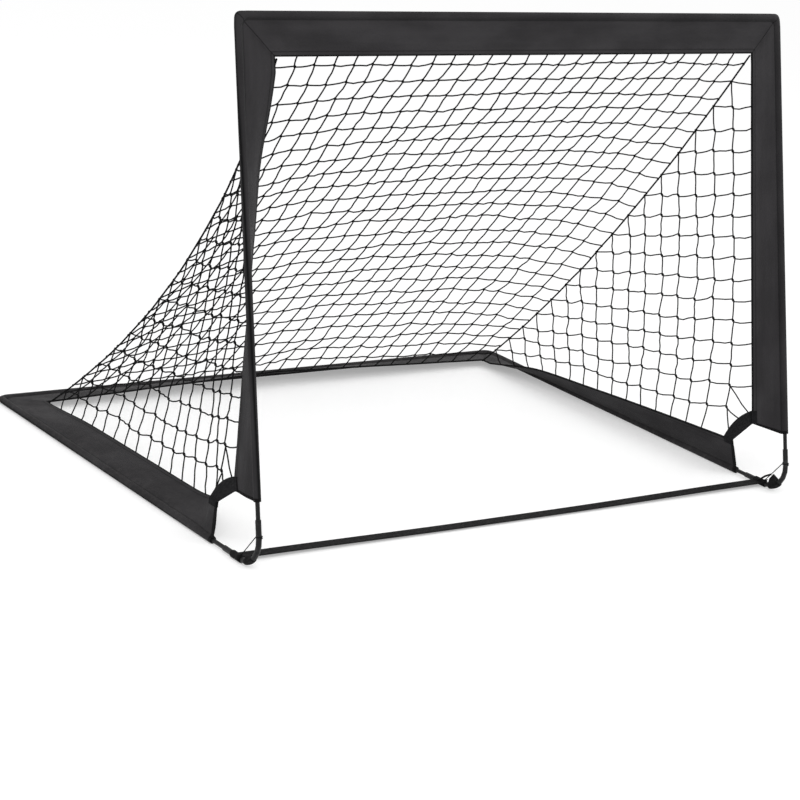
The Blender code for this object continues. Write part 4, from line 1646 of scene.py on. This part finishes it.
@dataclass
class GroundStrap:
    """The webbing along the goal line and the sewn loops that hold it to the front bends."""

    SECTION: ClassVar = ((-1.0, 0.5), (-0.9, 1.0), (-0.3, 0.85), (0.3, 0.85), (0.9, 1.0), (1.0, 0.5))
    FOLD_LINE: ClassVar = ((0.0745, 0.0010), (0.0660, 0.0085), (0.0560, 0.0170), (0.0420, 0.0250))
    CORD_LINE: ClassVar = ((0.0610, 0.0012), (0.0555, 0.0070), (0.0490, 0.0120))

    plan: GoalPlan
    rack: FinishRack
    thickness: float = 0.0014
    rise: float = 0.500
    lowest: float = 0.0035
    spacing: float = 0.012
    wrap_from: float = 13.0
    wrap_to: float = 47.0
    wrap_steps: int = 7
    folded: float = 0.0005
    floor_gap: float = 0.0001
    left_tip: float = 0.0072
    low_tip: tuple[float, float] = (0.049, 0.0134)
    high_tip: tuple[float, float] = (0.0405, 0.0257)
    fold_radius: float = 0.0019
    cord_radius: float = 0.0011

    @property
    def seat(self) -> float:
        """Return the inner radius of a loop."""
        return self.plan.tube_radius + self.plan.strap_play

    def band(self, sketch: MeshSketch, line: Sequence[tuple[float, float]]) -> None:
        """Add a flat band that follows a line in the XZ plane.

        Args:
            sketch: The mesh.
            line: The middle of the band, as X and Z.
        """
        half_width = self.plan.strap_width / 2
        half = self.thickness / 2
        rings = []
        along = []
        length = 0.0
        for index, (x, z) in enumerate(line):
            before = line[max(index - 1, 0)]
            after = line[min(index + 1, len(line) - 1)]
            run = Vector((after[0] - before[0], 0.0, after[1] - before[1])).normalized()
            up = Vector((-run.z, 0.0, run.x))
            length += math.hypot(x - before[0], z - before[1])
            along.append(length)
            rings.append([
                Vector((x, 0.0, z)) + BACK * half_width * across + up * half * thick * face
                for face, section in ((1, self.SECTION), (-1, self.SECTION[::-1]))
                for across, thick in section
            ])
        half_ring = [half_width * across for across, _ in self.SECTION]
        sketch.loft(rings, along, half_ring + half_ring[::-1])

    def strap(self) -> Piece:
        """Build the strap.

        Returns:
            The piece.
        """
        plan = self.plan
        end = plan.axis_x - self.seat - self.thickness - plan.strap_play
        line = []
        for x in steps(-end, end, self.spacing):
            share = min((end - abs(x)) / self.rise, 1.0)
            ease = share * share * (3 - 2 * share)
            line.append((x, plan.tunnel + (self.lowest - plan.tunnel) * ease))
        sketch = MeshSketch()
        self.band(sketch, line)
        piece = sketch.build("ground_webbing", [self.rack["strap_webbing"]], BAND_SHARP)
        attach(piece, "left_end")
        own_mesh(piece)
        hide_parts("ground_strap")
        return piece

    def bend_wrap(self, sketch: MeshSketch, side: Side) -> None:
        """Add the strap's end, which is folded round the bend and sewn to itself inside it.

        On the right its sewn tail stands up inside the bend, and a narrow fold of the strap and a cord run to it.

        Args:
            sketch: The loop's mesh.
            side: Which side.
        """
        plan = self.plan
        corner = plan.bar(side.value, 0.0)
        around = self.seat + (self.thickness if side is Side.RIGHT else self.folded)
        low_tip, high_tip = (corner + BACK * back + UP * up for back, up in (self.low_tip, self.high_tip))
        rings = []
        for share in steps(0.0, 1.0, 1.0 / self.wrap_steps):
            angle = math.radians(self.wrap_from + (self.wrap_to - self.wrap_from) * share)
            point, inwards = plan.front_arc(side.value, angle)
            tip = low_tip.lerp(high_tip, share) if side is Side.RIGHT else point + inwards * self.left_tip
            ring = []
            for degrees in range(-105, 106, 30):
                turn = math.radians(degrees)
                outside = point + (RIGHT * math.sin(turn) - inwards * math.cos(turn)) * around
                outside.z = max(outside.z, self.floor_gap)
                ring.append(outside)
            rings.append(ring + [tip + RIGHT * self.thickness, tip - RIGHT * self.thickness])
        along, across = (
            [plan.strap_width * index / (count - 1) for index in range(count)]
            for count in (len(rings), len(rings[0]))
        )
        sketch.loft(rings, along, [place - plan.strap_width / 2 for place in across])
        if side is Side.RIGHT:
            inside = corner - RIGHT * self.seat
            shapes = ((self.FOLD_LINE, self.fold_radius, CORD_SIDES), (self.CORD_LINE, self.cord_radius, 6))
            for line, radius, sides in shapes:
                sketch.tube([inside + BACK * back + UP * up for back, up in line], radius, sides)

    def loop(self, side: Side) -> Piece:
        """Build one loop round a bend's side leg, with its tail sewn over the strap.

        Args:
            side: Which side.

        Returns:
            The piece.
        """
        plan = self.plan
        middle = self.seat + self.thickness / 2
        line = []
        for degrees in range(180, -181, -15):
            angle = math.radians(degrees)
            x = side.value * (plan.axis_x + middle * math.cos(angle))
            line.append((x, plan.tunnel + middle * math.sin(angle)))
        sketch = MeshSketch()
        self.band(sketch, line)
        self.bend_wrap(sketch, side)
        piece = sketch.build(f"strap_wrap_{side.label}", [self.rack["strap_webbing"]], BAND_SHARP)
        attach(piece, f"{side.label}_end")
        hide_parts(f"strap_loop_{side.label}")
        return piece

    def build(self) -> list[Piece]:
        """Build the strap and its loops."""
        return [self.strap()] + [self.loop(side) for side in Side]


@dataclass
class TieCords:
    """The thin cords that are wound and knotted round the two legs of each front bend."""

    plan: GoalPlan
    rack: FinishRack
    on_post: float = 0.0565
    on_side: float = 0.0590
    radius: float = 0.0009
    turns: float = 1.5
    pitch: float = 0.0028
    knot_size: float = 0.0024
    turn_steps: int = 12

    def winding(self, centre: Vector, axis: Vector, start: Vector) -> list[Vector]:
        """Return a winding round a tube.

        Args:
            centre: The tube's axis at the middle of the winding.
            axis: The tube's direction.
            start: The direction from the axis in which the winding starts.

        Returns:
            The points of the cord.
        """
        seat = self.plan.tube_radius + self.radius
        first = (start - axis * start.dot(axis)).normalized()
        second = axis.cross(first)
        points = []
        count = int(self.turns * self.turn_steps)
        for step in range(count + 1):
            angle = 2 * math.pi * self.turns * step / count
            lift = axis * self.pitch * self.turns * (step / count - 0.5)
            points.append(centre + (first * math.cos(angle) + second * math.sin(angle)) * seat + lift)
        return points

    def tie(self, side: Side) -> Piece:
        """Build one tie cord.

        Args:
            side: Which side.

        Returns:
            The piece.
        """
        plan = self.plan
        post = plan.post(side.value, self.on_post)
        bar = plan.bar(side.value, self.on_side)
        across = (bar - post).normalized()
        lower = self.winding(post, plan.post_direction, -across)
        rear = self.winding(bar, BACK, across)
        sketch = MeshSketch()
        sketch.tube(lower + rear[::-1], self.radius, CORD_SIDES)
        sketch.knot(lower[-1], plan.post_direction, across, self.knot_size, 4.0)
        sketch.knot(rear[-1], BACK, across, self.knot_size, 9.0)
        piece = sketch.build(f"tie_line_{side.label}", [self.rack["tie_cord"]], CORD_SHARP)
        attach(piece, f"{side.label}_end")
        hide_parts(f"tie_cord_{side.label}")
        return piece

    def build(self) -> list[Piece]:
        """Build both tie cords."""
        return [self.tie(side) for side in Side]


@dataclass
class Hardware:
    """The rods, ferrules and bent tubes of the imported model, which keep their shapes and get finishes."""

    FINISHES: ClassVar[dict[str, str]] = {
        "front_elbow": "satin_black_tube", "_elbow": "drawn_steel", "_rod": "black_rod", "_ferrule": "drawn_steel",
    }

    rack: FinishRack

    def build(self) -> int:
        """Give each rigid node its finish, by the first of the words that its name has.

        Returns:
            How many nodes were dressed.
        """
        count = 0
        for name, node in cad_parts.items():
            finish = next((finish for word, finish in self.FINISHES.items() if word in name), None)
            if finish is not None:
                node.data.materials.clear()
                node.data.materials.append(self.rack[finish])
                count += 1
        return count


@dataclass
class Studio:
    """A plain white floor, soft light and the camera."""

    rack: FinishRack
    focal_pixels: float = 2471.9
    frame_pixels: float = 800.0
    sensor: float = 36.0
    clip_end: float = 200.0
    place: Vector = field(default_factory=lambda: Vector((-2.7058, -3.2020, 1.4756)))
    azimuth: float = -0.6458
    elevation: float = 0.2964
    roll: float = 0.1118
    sky: float = 0.85
    floor_reach: float = 60.0
    floor_height: float = -0.0004
    lit_place: Vector = field(default_factory=lambda: Vector((0.0, 0.3, 0.4)))

    def place_camera(self) -> None:
        """Set up the camera at the photograph's place."""
        data = bpy.data.cameras.new("camera")
        data.sensor_width = self.sensor
        data.sensor_height = self.sensor
        data.sensor_fit = "HORIZONTAL"
        data.lens = self.focal_pixels / self.frame_pixels * self.sensor
        data.clip_end = self.clip_end
        aim = Vector((
            math.sin(-self.azimuth) * math.cos(self.elevation),
            math.cos(self.azimuth) * math.cos(self.elevation),
            -math.sin(self.elevation),
        ))
        level = aim.cross(UP).normalized()
        upright = level.cross(aim)
        right = level * math.cos(self.roll) + upright * math.sin(self.roll)
        up = upright * math.cos(self.roll) - level * math.sin(self.roll)
        made = bpy.data.objects.new("camera", data)
        turn = Matrix((right, up, -aim)).transposed().to_4x4()
        made.matrix_world = Matrix.Translation(self.place) @ turn
        bpy.context.scene.collection.objects.link(made)
        bpy.context.scene.camera = made

    def hang_lamp(self, name: str, place: Vector, size: float, power: float) -> None:
        """Hang a soft lamp that points at the goal.

        Args:
            name: The lamp's name.
            place: Where it hangs.
            size: The side of its square.
            power: Its power in watts.
        """
        data = bpy.data.lights.new(name, "AREA")
        data.size = size
        data.energy = power
        made = bpy.data.objects.new(name, data)
        made.location = place
        made.rotation_euler = (self.lit_place - place).to_track_quat("-Z", "Y").to_euler()
        bpy.context.scene.collection.objects.link(made)

    def light_sky(self) -> None:
        """Set the world: soft even light, which cameras and glossy surfaces see as white."""
        world = bpy.data.worlds.new("studio_sky")
        world.use_nodes = True
        bpy.context.scene.world = world
        nodes = world.node_tree.nodes
        sheet = NodeSheet(world.node_tree)
        light = nodes["Background"]
        seen = sheet.add("ShaderNodeBackground")
        for shader, strength in ((seen, 1.0), (light, self.sky)):
            sheet.feed(WHITE, shader.inputs["Color"])
            sheet.feed(strength, shader.inputs["Strength"])
        mix = sheet.add("ShaderNodeMixShader")
        for index, source in enumerate((sheet.seen_directly(), light.outputs[0], seen.outputs[0])):
            sheet.feed(source, mix.inputs[index])
        sheet.feed(mix.outputs[0], nodes["World Output"].inputs["Surface"])

    def lay_floor(self) -> None:
        """Lay the floor."""
        mesh = bpy.data.meshes.new("floor")
        corners = ((-1, -1), (1, -1), (1, 1), (-1, 1))
        mesh.from_pydata([(x * self.floor_reach, y * self.floor_reach, 0) for x, y in corners], [], [(0, 1, 2, 3)])
        mesh.materials.append(self.rack["studio_floor"])
        made = bpy.data.objects.new("floor", mesh)
        made.location.z = self.floor_height
        bpy.context.scene.collection.objects.link(made)

    def build(self) -> None:
        """Set up the camera, the floor and the light."""
        self.place_camera()
        self.lay_floor()
        self.light_sky()
        self.hang_lamp("key_lamp", Vector((-2.2, -2.6, 3.4)), 2.6, 70.0)
        self.hang_lamp("fill_lamp", Vector((3.0, -1.6, 2.4)), 2.2, 22.0)
        bpy.context.scene.view_settings.view_transform = "Standard"


def main() -> None:
    """Build the whole scene, piece by piece."""
    logging.basicConfig(level=logging.INFO, format="%(name)s: %(message)s")
    noise.seed_set(NOISE_SEED)
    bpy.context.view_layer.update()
    plan = GoalPlan()
    rack = FinishRack()
    Studio(rack).build()
    LOG.info("studio ready")
    makers = (
        Sleeves(plan, rack), CornerWebs(plan, rack), NetMaker(plan, rack), GroundStrap(plan, rack),
        TieCords(plan, rack),
    )
    for maker in makers:
        for piece in maker.build():
            LOG.info("%s: %d faces", piece.name, len(piece.data.polygons))
    LOG.info("%d rigid nodes dressed", Hardware(rack).build())


if __name__ == "__main__":
    main()
